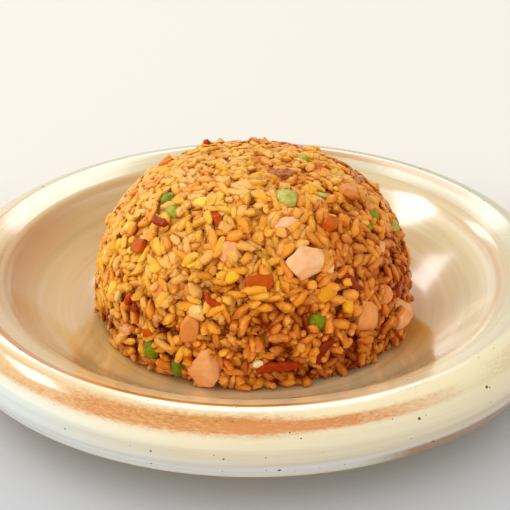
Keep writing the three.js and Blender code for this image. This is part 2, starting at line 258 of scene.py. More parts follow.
def bow(start, control, end, steps):
    """Points on a quadratic curve."""
    points = []
    for t in np.linspace(0, 1, steps):
        points.append(tuple((1 - t) ** 2 * a + 2 * t * (1 - t) * b + t * t * c
                            for a, b, c in zip(start, control, end)))
    return points


def plate_section():
    """Radius and height along the plate's section, from the well's middle round to the foot."""
    middle = (CREST_RADIUS, PLATE_TOP - ROLL_DOWN)
    crease = (CREASE_RADIUS, CREASE_HEIGHT)
    inside = bow((FLOOR_RADIUS, WELL_FLOOR), (FLOOR_RADIUS + WELL_PULL[0], WELL_FLOOR + WELL_PULL[1]),
                 crease, 16)
    slope = bow(crease, (CREST_RADIUS - 3 * MM, PLATE_TOP - 1.0 * MM),
                (CREST_RADIUS - 0.6 * MM, PLATE_TOP - 0.12 * MM), 8)
    outside = arc(middle, ROLL_OUT, ROLL_DOWN, 89, -ROLL_TUCK, 28)
    edge_middle = (outside[-1][0] - RIM_EDGE, outside[-1][1])
    edge = arc(edge_middle, RIM_EDGE, RIM_EDGE, -25, -180, 8)
    under_roll = arc(middle, ROLL_OUT - PLATE_WALL, ROLL_DOWN - PLATE_WALL, 0, 90, 10)
    under_wall = bow((CREASE_RADIUS + 3 * MM, CREASE_HEIGHT - 4.2 * MM),
                     (FLOOR_RADIUS + UNDER_PULL[0], WELL_FLOOR + UNDER_PULL[1]),
                     (FLOOR_RADIUS, FOOT_HEIGHT + 0.6 * MM), 10)
    foot = [(FOOT_OUTER, FOOT_BEVEL), (FOOT_OUTER - 0.25 * MM, 0.25 * MM), (FOOT_OUTER - FOOT_BEVEL, 0.0),
            (FOOT_INNER + 0.4 * MM, 0.0), (FOOT_INNER, 0.3 * MM), (FOOT_INNER - FOOT_BEVEL, FOOT_HEIGHT)]
    floor = [(r, WELL_FLOOR) for r in np.linspace(0, FLOOR_RADIUS, 9)[:-1]]
    under_floor = [(r, FOOT_HEIGHT) for r in np.linspace(FOOT_INNER - 4 * MM, 0, 5)]
    return floor + inside + slope[1:] + outside + edge + under_roll + under_wall + foot + under_floor


def make_plate(glaze):
    """The section, as a curve, carried round a circle by Geometry Nodes."""
    section = plate_section()
    curve = bpy.data.curves.new("plate_section", "CURVE")
    curve.dimensions = "3D"
    line = curve.splines.new("POLY")
    line.points.add(len(section) - 1)
    for point, (radius, height) in zip(line.points, section):
        point.co = (radius - CREST_RADIUS, -height, 0, 1)
    profile = bpy.data.objects.new("plate_section", curve)
    bpy.context.scene.collection.objects.link(profile)
    tree, given, result = geometry_tree("turned_plate", [
        ("Section", "NodeSocketObject", None), ("Radius", "NodeSocketFloat", 0.1),
        ("Sides", "NodeSocketInt", 64), ("Glaze", "NodeSocketMaterial", None)])
    circle = add(tree, "GeometryNodeCurvePrimitiveCircle",
                 {"Resolution": given.outputs["Sides"], "Radius": given.outputs["Radius"]})
    info = add(tree, "GeometryNodeObjectInfo", {"Object": given.outputs["Section"]})
    turned = add(tree, "GeometryNodeCurveToMesh",
                 {"Curve": circle.outputs["Curve"], "Profile Curve": info.outputs["Geometry"]})
    welded = add(tree, "GeometryNodeMergeByDistance",
                 {"Geometry": turned.outputs["Mesh"], "Distance": WELD / 2})
    real = add(tree, "GeometryNodeRealizeInstances", {"Geometry": welded.outputs["Geometry"]})
    painted = add(tree, "GeometryNodeSetMaterial",
                  {"Geometry": real.outputs["Geometry"], "Material": given.outputs["Glaze"]})
    tree.links.new(painted.outputs["Geometry"], result.inputs["Geometry"])
    blank = mesh_object("plate_blank", [], [])
    run_tree(blank, tree,
             {"Section": profile, "Radius": CREST_RADIUS, "Sides": PLATE_SIDES, "Glaze": glaze})
    plate = baked(blank, "stoneware_plate")
    bpy.data.objects.remove(profile)
    settle_plate(plate.data)
    return finished(plate, "root", "stoneware_glaze", "plate")


def settle_plate(mesh):
    """Closes the poles, turns the faces outwards and shades the plate smooth."""
    shape = bmesh.new()
    shape.from_mesh(mesh)
    bmesh.ops.remove_doubles(shape, verts=shape.verts, dist=WELD)
    bmesh.ops.dissolve_degenerate(shape, edges=shape.edges, dist=WELD / 20)
    bmesh.ops.recalc_face_normals(shape, faces=shape.faces)
    for face in shape.faces:
        face.smooth = True
    shape.to_mesh(mesh)
    shape.free()


# Colours along the section, in millimetres from the axis: out to the lip at 118, and then on round the
# rolled rim. The glaze is tan on the left, pale in front and on the right, and cream behind. Some stops are
# painted light. The near-white well from 66 to 98 on the pale side, and the brighter band from 72 to 84 on
# the tan side, lift the shade that the rice casts in front of it. The pale stop at the lip's crest, 118, on
# the tan side and the thin near-white line at 102.5 on the cream side are painted highlights. The cool
# near-white from 131 on the tan side, and from about 143 on the other two, is a painted reflection on the
# rolled rim.
GLAZE_SPAN = 150.0
TAN_SIDE = [(0, "#DDB468"), (60, "#E0B86A"), (72, "#F2D08A"), (84, "#FCDA92"), (91, "#EAC47A"),
            (98, "#DCA044"), (103, "#CE882A"), (106, "#DEB470"), (111, "#E2BA74"), (115, "#EACA8C"),
            (118, "#F6EAC8"), (122, "#E2C07C"), (128, "#DEB86E"), (131, "#E0DECC"), (135, "#DAE4E2"),
            (143, "#DCE4E2"), (147, "#D8D8D2"), (149, "#C8C4B8")]
PALE_SIDE = [(0, "#F0CC86"), (66, "#FFE4AE"), (80, "#FFECBA"), (98, "#FFE8AC"), (104, "#FAE0A0"),
             (108, "#FAE2AC"), (112, "#FFF2C8"), (118, "#FAEEC8"), (122, "#F8E8BC"), (130, "#ECDEB6"),
             (138, "#DED0B0"), (143, "#DCDCDA"), (147, "#D6D2CA"), (149, "#C0B498")]
CREAM_SIDE = [(0, "#DDA85C"), (60, "#E4A858"), (74, "#EAAA44"), (82, "#E8B04C"), (92, "#DCC07A"),
              (101, "#E8D29C"), (102.5, "#F4E6C4"), (104, "#DAB472"), (107, "#DCC694"), (110, "#D6D0A8"),
              (118, "#D2CAA6"), (121, "#DAD2B0"), (130, "#F2E0B4"), (138, "#E6DAC0"), (143, "#DEDCD8"),
              (147, "#E0C89C"), (149, "#A8764A")]

# Where things lie round the plate, from half a turn left of the front, 0, to half a turn right, 1.
# White is all there, black is none.
NONE, ALL = "#000000", "#FFFFFF"
CREAM_ROUND = [(0.0, "#E0E0E0"), (0.14, "#C8C8C8"), (0.2, "#484848"), (0.25, NONE), (0.6, NONE),
               (0.7, ALL), (0.92, ALL), (1.0, "#E0E0E0")]
PALE_ROUND = [(0.38, NONE), (0.47, ALL), (0.7, ALL), (0.76, NONE)]
LIP_ROUND = [(0.0, "#707070"), (0.1, "#A0A0A0"), (0.2, "#E0E0E0"), (0.25, ALL), (0.51, ALL),
             (0.545, "#C0C0C0"), (0.58, "#303030"), (0.8, "#303030"), (1.0, "#707070")]
PATCH_ROUND = [(0.0, NONE), (0.26, NONE), (0.33, "#909090"), (0.39, "#C8C8C8"), (0.43, ALL), (0.5, ALL),
               (0.54, NONE)]
BAND_ROUND = [(0.46, NONE), (0.5, ALL), (0.54, ALL), (0.592, "#C0C0C0"), (0.605, NONE), (1.0, NONE)]
DOTTED_ROUND = [(0.52, NONE), (0.54, "#D0D0D0"), (0.58, "#D0D0D0"), (0.61, NONE), (1.0, NONE)]
BLOT_ROUND = [(0.6, NONE), (0.625, "#D0D0D0"), (0.655, ALL), (0.69, "#A0A0A0"), (0.71, NONE), (0.86, NONE),
              (0.9, "#A0A0A0"), (0.94, NONE)]
EDGE_ROUND = [(0.0, "#808080"), (0.12, "#505050"), (0.3, NONE), (0.5, NONE), (0.54, "#808080"), (0.57, ALL),
              (0.85, ALL), (1.0, "#808080")]
BACK_ROUND = [(0.0, ALL), (0.06, NONE), (0.78, NONE), (0.84, ALL), (1.0, ALL)]
ARC_ROUND = [(0.0, NONE), (0.64, NONE), (0.7, "#D0D0D0"), (0.79, "#D0D0D0"), (0.84, NONE), (1.0, NONE)]
LEFT_ROUND = [(0.12, NONE), (0.2, "#C0C0C0"), (0.27, ALL), (0.33, "#C0C0C0"), (0.4, NONE), (1.0, NONE)]

# The rust that shows through, in the order that it is laid on: how strong it is round the plate, where
# it lies along the section, its colour, its strength, and how ragged its grain makes it.
RUST = [
    (LEFT_ROUND, [(106.8, NONE), (108, ALL), (109.2, ALL), (110.6, NONE)], "#BE7834", 0.8, 0.8),
    (BACK_ROUND, [(112.6, NONE), (114.2, ALL), (116.8, ALL), (118.2, NONE)], "#CE8C34", 0.95, 0.8),
    (ARC_ROUND, [(101.5, NONE), (103.5, ALL), (106, ALL), (109, NONE)], "#C48C3C", 0.6, 1.0),
    (LIP_ROUND, [(115.2, NONE), (115.8, ALL), (118.3, ALL), (119.0, NONE)], "#DC8A06", 1.2, 0.5),
    (PATCH_ROUND, [(119.6, NONE), (122.2, "#C0C0C0"), (124, ALL), (129, ALL), (131, "#A0A0A0"), (133, NONE)],
     "#D88806", 1.0, 1.9),
    (PATCH_ROUND, [(121, NONE), (124.5, ALL), (129, ALL), (131, NONE)], "#A4600A", 0.15, 2.6),
    (BAND_ROUND, [(123.6, NONE), (125.4, ALL), (128.4, ALL), (130.2, NONE)], "#D88430", 1.0, 2.0),
    (DOTTED_ROUND, [(118.6, NONE), (119.4, ALL), (120.4, ALL), (121.2, NONE)], "#C8783A", 0.55, 2.6),
    (BLOT_ROUND, [(121.5, NONE), (124, ALL), (128.5, ALL), (131.5, NONE)], "#D0A060", 0.5, 2.2),
    (EDGE_ROUND, [(140.8, NONE), (142.8, ALL), (150, ALL)], "#A8702C", 1.0, 0.8),
]

# Iron specks: the size of the cell that may hold one, its largest radius, both in millimetres, and its
# colour. They show outside SPECKS_FROM along the section. A speck's size is a chance number up to 1,
# times SPECK_SPREAD and then less SPECK_FEWER, so most cells have none.
SPECKS = [(12.0, 0.85, "#5A2E08"), (6.0, 0.5, "#7E4A14")]
SPECKS_FROM = 110.0
SPECK_SPREAD, SPECK_FEWER = 2.6, 1.6

# Strokes of the brush: how strongly the streaks show them, the thin ones first, and their colours.
STROKES = ((-1.3, "#B88A42"), (1.6, "#FBEBC0"))

# Noise in the glaze: how often it changes in a millimetre across the brush's way, and how far it moves
# once round the plate, in millimetres of its own, which draws it out into streaks or grains.
STREAKS_PER_MM, BANDS_PER_MM, STREAK_WAY = 0.45, 0.2, 2.4
RUST_GRAINS_PER_MM, RUST_WAY = 1.5, 39.0
BAND_WANDER, STREAK_WANDER = 5.0, 6.0    # millimetres that bands of colour stray with the noise


def stoneware_glaze():
    """Glazed stoneware, turned and brushed on the wheel. The cream glaze is banded in rings, breaks to
    rust where it runs thin over the lip and the rolled rim, and lets iron specks of the clay through.
    It is glossy, and shows the soft ridges of the turning."""
    made, tree, shader = material("brushed_glaze_stoneware", {
        "Roughness": 0.22, "IOR": 1.52, "Coat Weight": 1.0, "Coat Roughness": 0.12, "Coat IOR": 1.6})
    place = add(tree, "ShaderNodeTexCoord").outputs["Object"]
    axes = add(tree, "ShaderNodeSeparateXYZ", {"Vector": place})
    flat = add(tree, "ShaderNodeCombineXYZ", {"X": axes.outputs["X"], "Y": axes.outputs["Y"]})
    radius = add(tree, "ShaderNodeVectorMath", {0: flat.outputs[0]}, operation="LENGTH").outputs["Value"]
    heading = add(tree, "ShaderNodeVectorMath", {0: flat.outputs[0]},
                  operation="NORMALIZE").outputs["Vector"]
    # Millimetres along the section: the radius out to the lip, then the way round the rolled rim.
    rise = add(tree, "ShaderNodeMath", {0: axes.outputs["Z"], 1: PLATE_TOP - ROLL_DOWN},
               operation="SUBTRACT").outputs[0]
    reach = add(tree, "ShaderNodeMath", {0: radius, 1: CREST_RADIUS}, operation="SUBTRACT").outputs[0]
    turn = add(tree, "ShaderNodeMath", {0: reach, 1: rise}, operation="ARCTAN2").outputs[0]
    rounded = add(tree, "ShaderNodeMath", {0: turn, 1: (ROLL_OUT + ROLL_DOWN) / 2 / MM},
                  operation="MULTIPLY").outputs[0]
    past_lip = add(tree, "ShaderNodeMath", {0: rounded, 1: 0.0}, operation="MAXIMUM").outputs[0]
    capped = add(tree, "ShaderNodeMath", {0: radius, 1: CREST_RADIUS}, operation="MINIMUM").outputs[0]
    along = add(tree, "ShaderNodeMath", {0: capped, 1: 1 / MM, 2: past_lip},
                operation="MULTIPLY_ADD").outputs[0]
    # The turn round the plate, from 0 to 1, with the front at a half.
    front = add(tree, "ShaderNodeMath", {0: axes.outputs["Y"], 1: -1.0}, operation="MULTIPLY").outputs[0]
    bearing = add(tree, "ShaderNodeMath", {0: axes.outputs["X"], 1: front}, operation="ARCTAN2").outputs[0]
    part_round = add(tree, "ShaderNodeMath", {0: bearing, 1: 0.5 / math.pi, 2: 0.5},
                     operation="MULTIPLY_ADD").outputs[0]
    # Brush streaks, about 2 mm across and some 50 mm long, and a slow wander of the bands.
    round_way = add(tree, "ShaderNodeVectorMath", {0: heading, 1: (STREAK_WAY, STREAK_WAY, 0)},
                    operation="MULTIPLY")
    across = add(tree, "ShaderNodeCombineXYZ", {"Z": along})
    streak_place = add(tree, "ShaderNodeVectorMath", {0: round_way.outputs[0], 1: across.outputs[0]},
                       operation="ADD").outputs[0]
    streaks = add(tree, "ShaderNodeTexNoise", {"Vector": streak_place, "Scale": STREAKS_PER_MM,
                                               "Detail": 3.0, "Roughness": 0.6}).outputs["Fac"]
    drift = add(tree, "ShaderNodeTexNoise", {"Vector": streak_place, "Scale": BANDS_PER_MM,
                                             "Detail": 2.0, "Roughness": 0.5}).outputs["Fac"]
    wander = add(tree, "ShaderNodeMath", {0: drift, 1: 0.5}, operation="SUBTRACT").outputs[0]
    shifted = add(tree, "ShaderNodeMath", {0: wander, 1: BAND_WANDER, 2: along},
                  operation="MULTIPLY_ADD").outputs[0]
    fine = add(tree, "ShaderNodeMath", {0: streaks, 1: 0.5}, operation="SUBTRACT").outputs[0]
    brushed = add(tree, "ShaderNodeMath", {0: fine, 1: STREAK_WANDER, 2: shifted},
                  operation="MULTIPLY_ADD").outputs[0]
    share = add(tree, "ShaderNodeMath", {0: brushed, 1: GLAZE_SPAN}, operation="DIVIDE").outputs[0]
    sides = [add(tree, "ShaderNodeValToRGB", {"Fac": share},
                 ramp=[(at / GLAZE_SPAN, tint) for at, tint in side]).outputs["Color"]
             for side in (TAN_SIDE, PALE_SIDE, CREAM_SIDE)]
    glaze = sides[0]
    for side, round_ramp in zip(sides[1:], (PALE_ROUND, CREAM_ROUND)):
        amount = add(tree, "ShaderNodeValToRGB", {"Fac": part_round}, ramp=round_ramp).outputs["Color"]
        glaze = add(tree, "ShaderNodeMix", {0: amount, 6: glaze, 7: side}, data_type="RGBA").outputs[2]
    # The brush leaves the glaze thin and brown in some strokes, thick and pale in others.
    stroke = add(tree, "ShaderNodeMath", {0: fine, 1: 0.5, 2: wander}, operation="MULTIPLY_ADD").outputs[0]
    for way, tint in STROKES:
        amount = add(tree, "ShaderNodeMath", {0: stroke, 1: way}, operation="MULTIPLY",
                     use_clamp=True).outputs[0]
        glaze = add(tree, "ShaderNodeMix", {0: amount, 6: glaze, 7: colour(tint)},
                    data_type="RGBA").outputs[2]
    # Grainy rust, 1 mm grains drawn out three times their width round the rim.
    grain_way = add(tree, "ShaderNodeVectorMath", {0: heading, 1: (RUST_WAY, RUST_WAY, 0)},
                    operation="MULTIPLY")
    grain_place = add(tree, "ShaderNodeVectorMath", {0: grain_way.outputs[0], 1: across.outputs[0]},
                      operation="ADD").outputs[0]
    grains = add(tree, "ShaderNodeTexNoise",
                 {"Vector": grain_place, "Scale": RUST_GRAINS_PER_MM, "Detail": 4.0,
                  "Roughness": 0.7}).outputs["Fac"]
    steady = add(tree, "ShaderNodeMath", {0: wander, 1: 2.0, 2: along}, operation="MULTIPLY_ADD").outputs[0]
    offset = add(tree, "ShaderNodeMath", {0: steady, 1: 1 / GLAZE_SPAN}, operation="MULTIPLY").outputs[0]
    for round_ramp, band, tint, strength, ragged in RUST:
        amount = add(tree, "ShaderNodeValToRGB", {"Fac": part_round}, ramp=round_ramp).outputs["Color"]
        mask = add(tree, "ShaderNodeValToRGB", {"Fac": offset},
                   ramp=[(at / GLAZE_SPAN, level) for at, level in band]).outputs["Color"]
        here = add(tree, "ShaderNodeMath", {0: amount, 1: mask}, operation="MULTIPLY").outputs[0]
        broken = add(tree, "ShaderNodeMath", {0: grains, 1: ragged, 2: -0.5 * ragged},
                     operation="MULTIPLY_ADD").outputs[0]
        worn = add(tree, "ShaderNodeMath", {0: here, 1: strength, 2: broken},
                   operation="MULTIPLY_ADD").outputs[0]
        held = add(tree, "ShaderNodeMath", {0: worn, 1: here}, operation="MULTIPLY",
                   use_clamp=True).outputs[0]
        glaze = add(tree, "ShaderNodeMix", {0: held, 6: glaze, 7: colour(tint)},
                    data_type="RGBA").outputs[2]
    # The specks lie on a flat map of the glaze, millimetres round the rim by millimetres along the section.
    rim_length = 2 * math.pi * CREST_RADIUS / MM
    map_x = add(tree, "ShaderNodeMath", {0: part_round, 1: rim_length}, operation="MULTIPLY").outputs[0]
    glaze_map = add(tree, "ShaderNodeCombineXYZ", {"X": map_x, "Y": along}).outputs[0]
    on_rim = add(tree, "ShaderNodeMath", {0: along, 1: SPECKS_FROM}, operation="GREATER_THAN").outputs[0]
    for cell, largest, tint in SPECKS:
        cells = add(tree, "ShaderNodeTexVoronoi", {"Vector": glaze_map, "Scale": 1 / cell},
                    voronoi_dimensions="2D")
        size = add(tree, "ShaderNodeMath", {0: cells.outputs["Color"], 1: SPECK_SPREAD, 2: -SPECK_FEWER},
                   operation="MULTIPLY_ADD").outputs[0]
        sized = add(tree, "ShaderNodeMath", {0: size, 1: largest / cell}, operation="MULTIPLY").outputs[0]
        room = add(tree, "ShaderNodeMath", {0: sized, 1: on_rim}, operation="MULTIPLY").outputs[0]
        near = add(tree, "ShaderNodeMath", {0: cells.outputs["Distance"], 1: room},
                   operation="LESS_THAN").outputs[0]
        glaze = add(tree, "ShaderNodeMix", {0: near, 6: glaze, 7: colour(tint)},
                    data_type="RGBA").outputs[2]
    link(tree, glaze, shader, "Base Color")
    ridges = add(tree, "ShaderNodeBump", {"Height": streaks, "Strength": 0.1, "Distance": 0.4 * MM})
    link(tree, ridges.outputs["Normal"], shader, "Normal")
    return made


# ---------------------------------------------------------------- the dome's surface

def dome_depth(points):
    """How deep each point lies under the dome's outer skin, and which way is out there."""
    local = points - np.array([0, 0, RICE_BASE])
    reach = np.maximum(np.hypot(local[:, 0], local[:, 1]), 1e-7)
    up = np.maximum(local[:, 2], 1e-7)
    a, b = (reach / RICE_RADIUS) ** RICE_POWER, (up / RICE_HEIGHT) ** RICE_POWER
    gauge = (a + b) ** (1 / RICE_POWER)
    scale = gauge ** (1 - RICE_POWER)
    out = scale * a / reach
    rise = scale * b / up
    steep = np.hypot(out, rise)
    normal = np.stack([local[:, 0] / reach * out, local[:, 1] / reach * out, rise], 1) / steep[:, None]
    return (1 - gauge) / steep, normal


def dome_direction(azimuth, elevation, depth):
    """A point of the dome from degrees round from the front, degrees above the base, and a depth."""
    a, e = math.radians(azimuth), math.radians(elevation)
    flat = abs(math.cos(e)) / (RICE_RADIUS - depth)
    tall = abs(math.sin(e)) / (RICE_HEIGHT - depth)
    reach = (flat ** RICE_POWER + tall ** RICE_POWER) ** (-1 / RICE_POWER)
    return Vector((math.sin(a) * math.cos(e) * reach, -math.cos(a) * math.cos(e) * reach,
                   RICE_BASE + math.sin(e) * reach))


def looseness(points):
    """From near 0 where the bowl pressed the rice smooth, at the top, to 1 where it has slumped."""
    rise = (points[:, 2] - RICE_BASE) / RICE_HEIGHT
    aside = points[:, 0] / RICE_RADIUS
    return np.clip(LOOSE_FOOT - LOOSE_FALL * rise + LOOSE_RIGHT * aside - LOOSE_SIDES * aside ** 2,
                   LEAST_LOOSE, 1)


def bumps(points, size, finer_height):
    """A wave as long as size with a finer one on it, at each point, from about -1 to 1."""
    return np.array([noise.noise(Vector(p) / size) + finer_height * noise.noise(Vector(p) / (size * FINER))
                     for p in points])


def slumped(points):
    """How far the loose surface has sunk below the dome's outer skin at each point."""
    hollows = np.clip(bumps(points, CLUMP, 0.45) + 0.12, -0.12, 1)
    elsewhere = Vector((3, 9, 1))
    ridges = np.array([noise.noise(Vector(p) / CRACK_CLUMP + elsewhere) for p in points])
    cracks = np.clip(1 - np.abs(ridges) / 0.14, 0, 1)
    return looseness(points) * (hollows * SLUMP + cracks * CREVICE)


# ---------------------------------------------------------------- toppings

# Small scraps that lie among the rice besides the pieces that are nodes, by kind: degrees round from
# the front, degrees up, length, width and thickness in millimetres, and degrees of turn.
SCRAPS = {
    "pea": [(52.8, 60.5, 8.0, 3.4, 2.6, -60), (61, 43.8, 4.5, 3.4, 3, 80), (104, 45, 5, 3.4, 3, 60),
            (86, 23, 7, 3.2, 2.4, 70), (-160, 58, 6, 3.2, 2.6, 20), (130, 12, 6, 3.6, 2.6, 50)],
    "corn": [(-25.1, 40.4, 4.2, 3.6, 3, 20), (49, 64, 6.5, 3.2, 2.8, 5), (-56, 37, 3.4, 3, 2.6, 60),
             (-175, 36, 5, 4, 3, 30), (100, 20, 4.6, 3.8, 3, 0)],
    "carrot": [(-88.7, 48.3, 5.5, 3.4, 3, 70), (175.2, 68.9, 4.5, 3.2, 3, 0), (50.5, 49.8, 4.4, 3.6, 3, 20),
               (54.6, 45.9, 4.4, 3.8, 3, 50), (-38, 15.2, 4.6, 3.4, 2.8, 20), (90.3, 43.5, 4, 3.4, 3, 0),
               (12, 62, 4.6, 3.2, 3, 30), (-150, 44, 5, 3.6, 3, 60)],
    "chilli": [(-49.3, 22.8, 6.5, 3.2, 2.2, 70), (-45.5, 20.8, 4.6, 2.6, 2, 10),
               (-57, 77.2, 5.5, 3.4, 2.4, -20), (64.1, 19.8, 6.5, 4.4, 2.6, 20),
               (35.9, 3.4, 5.5, 2.8, 2.2, 10), (10, 66, 6, 2.4, 2, -20),
               (-120, 20, 7, 2.8, 2.2, 40), (140, 33, 8, 2.8, 2.2, 120)],
    "chicken": [(-48.9, 12, 5.5, 4.4, 3.6, 60), (-52, 60, 6, 3.6, 3, 10), (31, 38, 6, 4.4, 3.4, 30),
                (62, 36, 6.5, 5, 4, 60), (-35, 30, 5.5, 4.4, 3.4, 100), (-100, 30, 7, 5, 4, 30),
                (178, 30, 6, 5, 4, 40)],
    "pork": [(151.8, 81.9, 6.5, 3.2, 2.4, 10), (86.3, 72, 4.4, 3.2, 2.6, 30), (-30, 78, 5.5, 3, 2.4, 60)],
    "egg": [(1.6, 10.6, 4.4, 3.4, 2.8, 15), (-55.5, 21.5, 5.4, 2.6, 2.4, 80), (-57, 50, 3.6, 3, 2.6, 20),
            (-62, 63, 6, 4, 3, 10), (70, 8, 4, 3.2, 2.6, 30), (-170, 20, 5, 4, 3, 0)],
}

# Each kind's visible piece and its shape: how much the node's solid swells, how often its faces are
# divided (plain keeps the edges, smooth rounds them), how many flats the knife leaves on each, and the
# height and size of its lumps. deep is how high the flats lie, as shares of the piece's reach.
FINISHES = {
    "pea": {"piece": "peas", "slot": "green_pea", "swell": 1.14, "plain": 0, "smooth": 2, "flats": 0,
            "lump": 0.45 * MM, "lump_size": 1.7 * MM},
    "corn": {"piece": "sweetcorn_kernels", "slot": "sweetcorn", "swell": 1.06, "plain": 1, "smooth": 1,
             "flats": 3, "lump": 0.25 * MM, "lump_size": 2.6 * MM},
    "carrot": {"piece": "carrot_dice", "slot": "carrot", "swell": 1.04, "plain": 2, "smooth": 1, "flats": 3,
               "lump": 0.25 * MM, "lump_size": 2 * MM},
    "chilli": {"piece": "chilli_shreds", "slot": "red_chilli", "swell": 1.0, "plain": 1, "smooth": 1,
               "flats": 4, "lump": 0.4 * MM, "lump_size": 1.8 * MM},
    "chicken": {"piece": "chicken_chunks", "slot": "cooked_chicken", "swell": 1.14, "plain": 2, "smooth": 1,
                "flats": 7, "deep": (0.55, 0.8), "lump": 0.4 * MM, "lump_size": 4 * MM},
    "pork": {"piece": "pork_pieces", "slot": "roast_pork", "swell": 1.05, "plain": 2, "smooth": 1, "flats": 4,
             "lump": 0.6 * MM, "lump_size": 2 * MM},
    "egg": {"piece": "egg_curds", "slot": "egg", "swell": 1.05, "plain": 1, "smooth": 1, "flats": 3,
            "lump": 0.5 * MM, "lump_size": 1.6 * MM},
}

FLAT_HEIGHTS = (0.68, 0.88)          # deep, for the kinds that don't give their own
FLAT_SHARE = 0.92                    # how much of what stands past a flat the knife takes off

# Each kind's skin: its name, its colours from the palest tone, 0, to the darkest, 1, the size of its
# mottling, its roughness, how much light goes into it, and how strong its relief is.
SKINS = {
    "pea": ("boiled_pea_skin", [(0.0, "#D8CE78"), (0.3, "#B2B044"), (0.55, "#8C9A10"), (1.0, "#5A6404")],
            2.4 * MM, 0.26, 0.2, 0.6),
    "corn": ("sweetcorn_skin", [(0.0, "#FADA60"), (0.5, "#F8BC2C"), (1.0, "#E6941A")],
             4 * MM, 0.28, 0.2, 0.3),
    "carrot": ("cooked_carrot", [(0.0, "#F08E24"), (0.5, "#DA6A0E"), (1.0, "#BC4C04")],
               3 * MM, 0.35, 0.25, 0.4),
    "chilli": ("red_chilli_skin", [(0.0, "#CC4806"), (0.5, "#A42C02"), (1.0, "#701400")],
               2.4 * MM, 0.26, 0.12, 0.5),
    "chicken": ("poached_chicken", [(0.0, "#FFC896"), (0.5, "#F3A868"), (1.0, "#DE8C42")],
                5 * MM, 0.4, 0.2, 0.6),
    "pork": ("roast_pork", [(0.0, "#E09A50"), (0.5, "#B0602A"), (1.0, "#7A3410")],
             2.4 * MM, 0.36, 0.15, 0.6),
    "egg": ("fried_egg_curd", [(0.0, "#FCEDC4"), (0.5, "#F8D48A"), (1.0, "#EFB95C")],
            3 * MM, 0.42, 0.3, 0.5),
}

# How dark each piece is, from 0 to 1, where it isn't left to chance.
TONES = {
    "pea_01": 0.75, "pea_02": 0.4, "pea_03": 0.4, "pea_04": 0.2, "pea_05": 0.35, "pea_06": 0.7, "pea_07": 0.3,
    "pea_08": 0.7, "pea_09": 0.85, "pea_10": 0.8, "corn_01": 0.1, "corn_02": 0.2, "corn_03": 0.35,
    "corn_04": 0.3, "corn_05": 0.2, "corn_06": 0.6, "corn_07": 0.95, "corn_08": 0.7, "carrot_02": 0.85,
    "carrot_03": 0.95, "carrot_04": 0.75, "chilli_02": 0.6, "chilli_03": 0.25, "chilli_04": 0.35,
    "chilli_05": 0.45, "chilli_06": 0.8, "chilli_07": 0.7, "chicken_01": 0.15, "chicken_02": 0.1,
    "chicken_03": 0.35, "chicken_04": 0.35, "chicken_05": 0.7, "chicken_06": 0.8, "chicken_07": 1.0,
    "chicken_08": 0.7, "chicken_09": 0.45, "pork_01": 0.55, "pork_02": 0.15, "egg_01": 0.55, "egg_02": 0.1,
}

# Pieces that have swollen more than the rest of their kind: how much along X, Y and Z.
SWOLLEN = {"chicken_01": (1.3, 1.2, 1.3), "chicken_03": (1.3, 1.3, 1.5), "chicken_04": (1.4, 1.2, 1.2),
           "pea_04": (1.3, 1.3, 1.3), "pea_01": (1.15, 1.15, 1.15)}

# How much of its size a piece keeps clear of grains, given for the piece or its kind, or else for any.
CLEAR_USUAL = 0.5
CLEAR = {"pea": 0.7, "pea_01": 0.85, "pea_02": 0.9, "pea_04": 0.95, "pea_08": 0.45, "pea_09": 0.45,
         "carrot": 0.38, "chilli": 0.44, "chicken": 0.62, "chicken_01": 0.92, "chicken_03": 0.72,
         "chicken_04": 0.85}

# Knife cuts on the largest chunks: degrees round from the right, as seen from in front and above,
# degrees that the cut face leans towards the diner, and millimetres from the middle.
CUTS = {
    "chicken_01": [(135, 0, 5.9), (82, 0, 7.1), (-17, 0, 7.7), (-59, 0, 5.5), (-140, 0, 4.7), (-45, 48, 5.2)],
    "chicken_03": [(145, 0, 5.4), (96, 0, 5.6), (-8, 0, 5.6), (-31, 0, 6.2), (-80, 0, 9.6),
                   (-153, 0, 8.8), (0, 42, 4.6), (-120, 45, 6.6)],
    "chicken_04": [(61, 0, 6.5), (-49, 0, 5.8), (190, 40, 4.6)],
}
CUT_VIEW = 27                        # degrees above the table from which the cuts are given
SCRAP_SUNK = 0.42                    # share of a scrap's thickness that lies under the skin to its middle
SCRAP_TAPER = 0.28                   # how much narrower a scrap is at one end


def welded_copy(node):
    """The solid's own shape with its loose triangles joined."""
    shape = bmesh.new()
    shape.from_mesh(frame["nodes"][node].data)
    bmesh.ops.remove_doubles(shape, verts=shape.verts, dist=2e-6)
    return shape


def knife_cuts(shape, middle, cuts):
    """Slices pieces off a solid with planes, and closes it again."""
    tilt = math.radians(CUT_VIEW)
    up = Vector((0, math.sin(tilt), math.cos(tilt)))
    towards = Vector((0, -math.cos(tilt), math.sin(tilt)))
    for degrees, leaning, distance in cuts:
        turn, lean = math.radians(degrees), math.radians(leaning)
        round_way = Vector((math.cos(turn), 0, 0)) + up * math.sin(turn)
        facing = round_way * math.cos(lean) + towards * math.sin(lean)
        parts = shape.verts[:] + shape.edges[:] + shape.faces[:]
        bmesh.ops.bisect_plane(shape, geom=parts, plane_co=middle + facing * distance * MM, plane_no=facing,
                               clear_outer=True)
        bmesh.ops.holes_fill(shape, edges=[edge for edge in shape.edges if edge.is_boundary])


def scrap_place(azimuth, elevation, thickness, turn):
    """Where a scrap lies in the dome's skin: its length along the skin, its thickness outwards."""
    middle = dome_direction(azimuth, elevation, thickness * SCRAP_SUNK)
    _, normal = dome_depth(np.array([middle]))
    out = Vector(normal[0])
    east = Vector((0, 0, 1)).cross(out).normalized()
    spin = Matrix((east, out.cross(east), out)).transposed() @ Matrix.Rotation(math.radians(turn), 3, "Z")
    return Matrix.Translation(middle) @ spin.to_4x4()


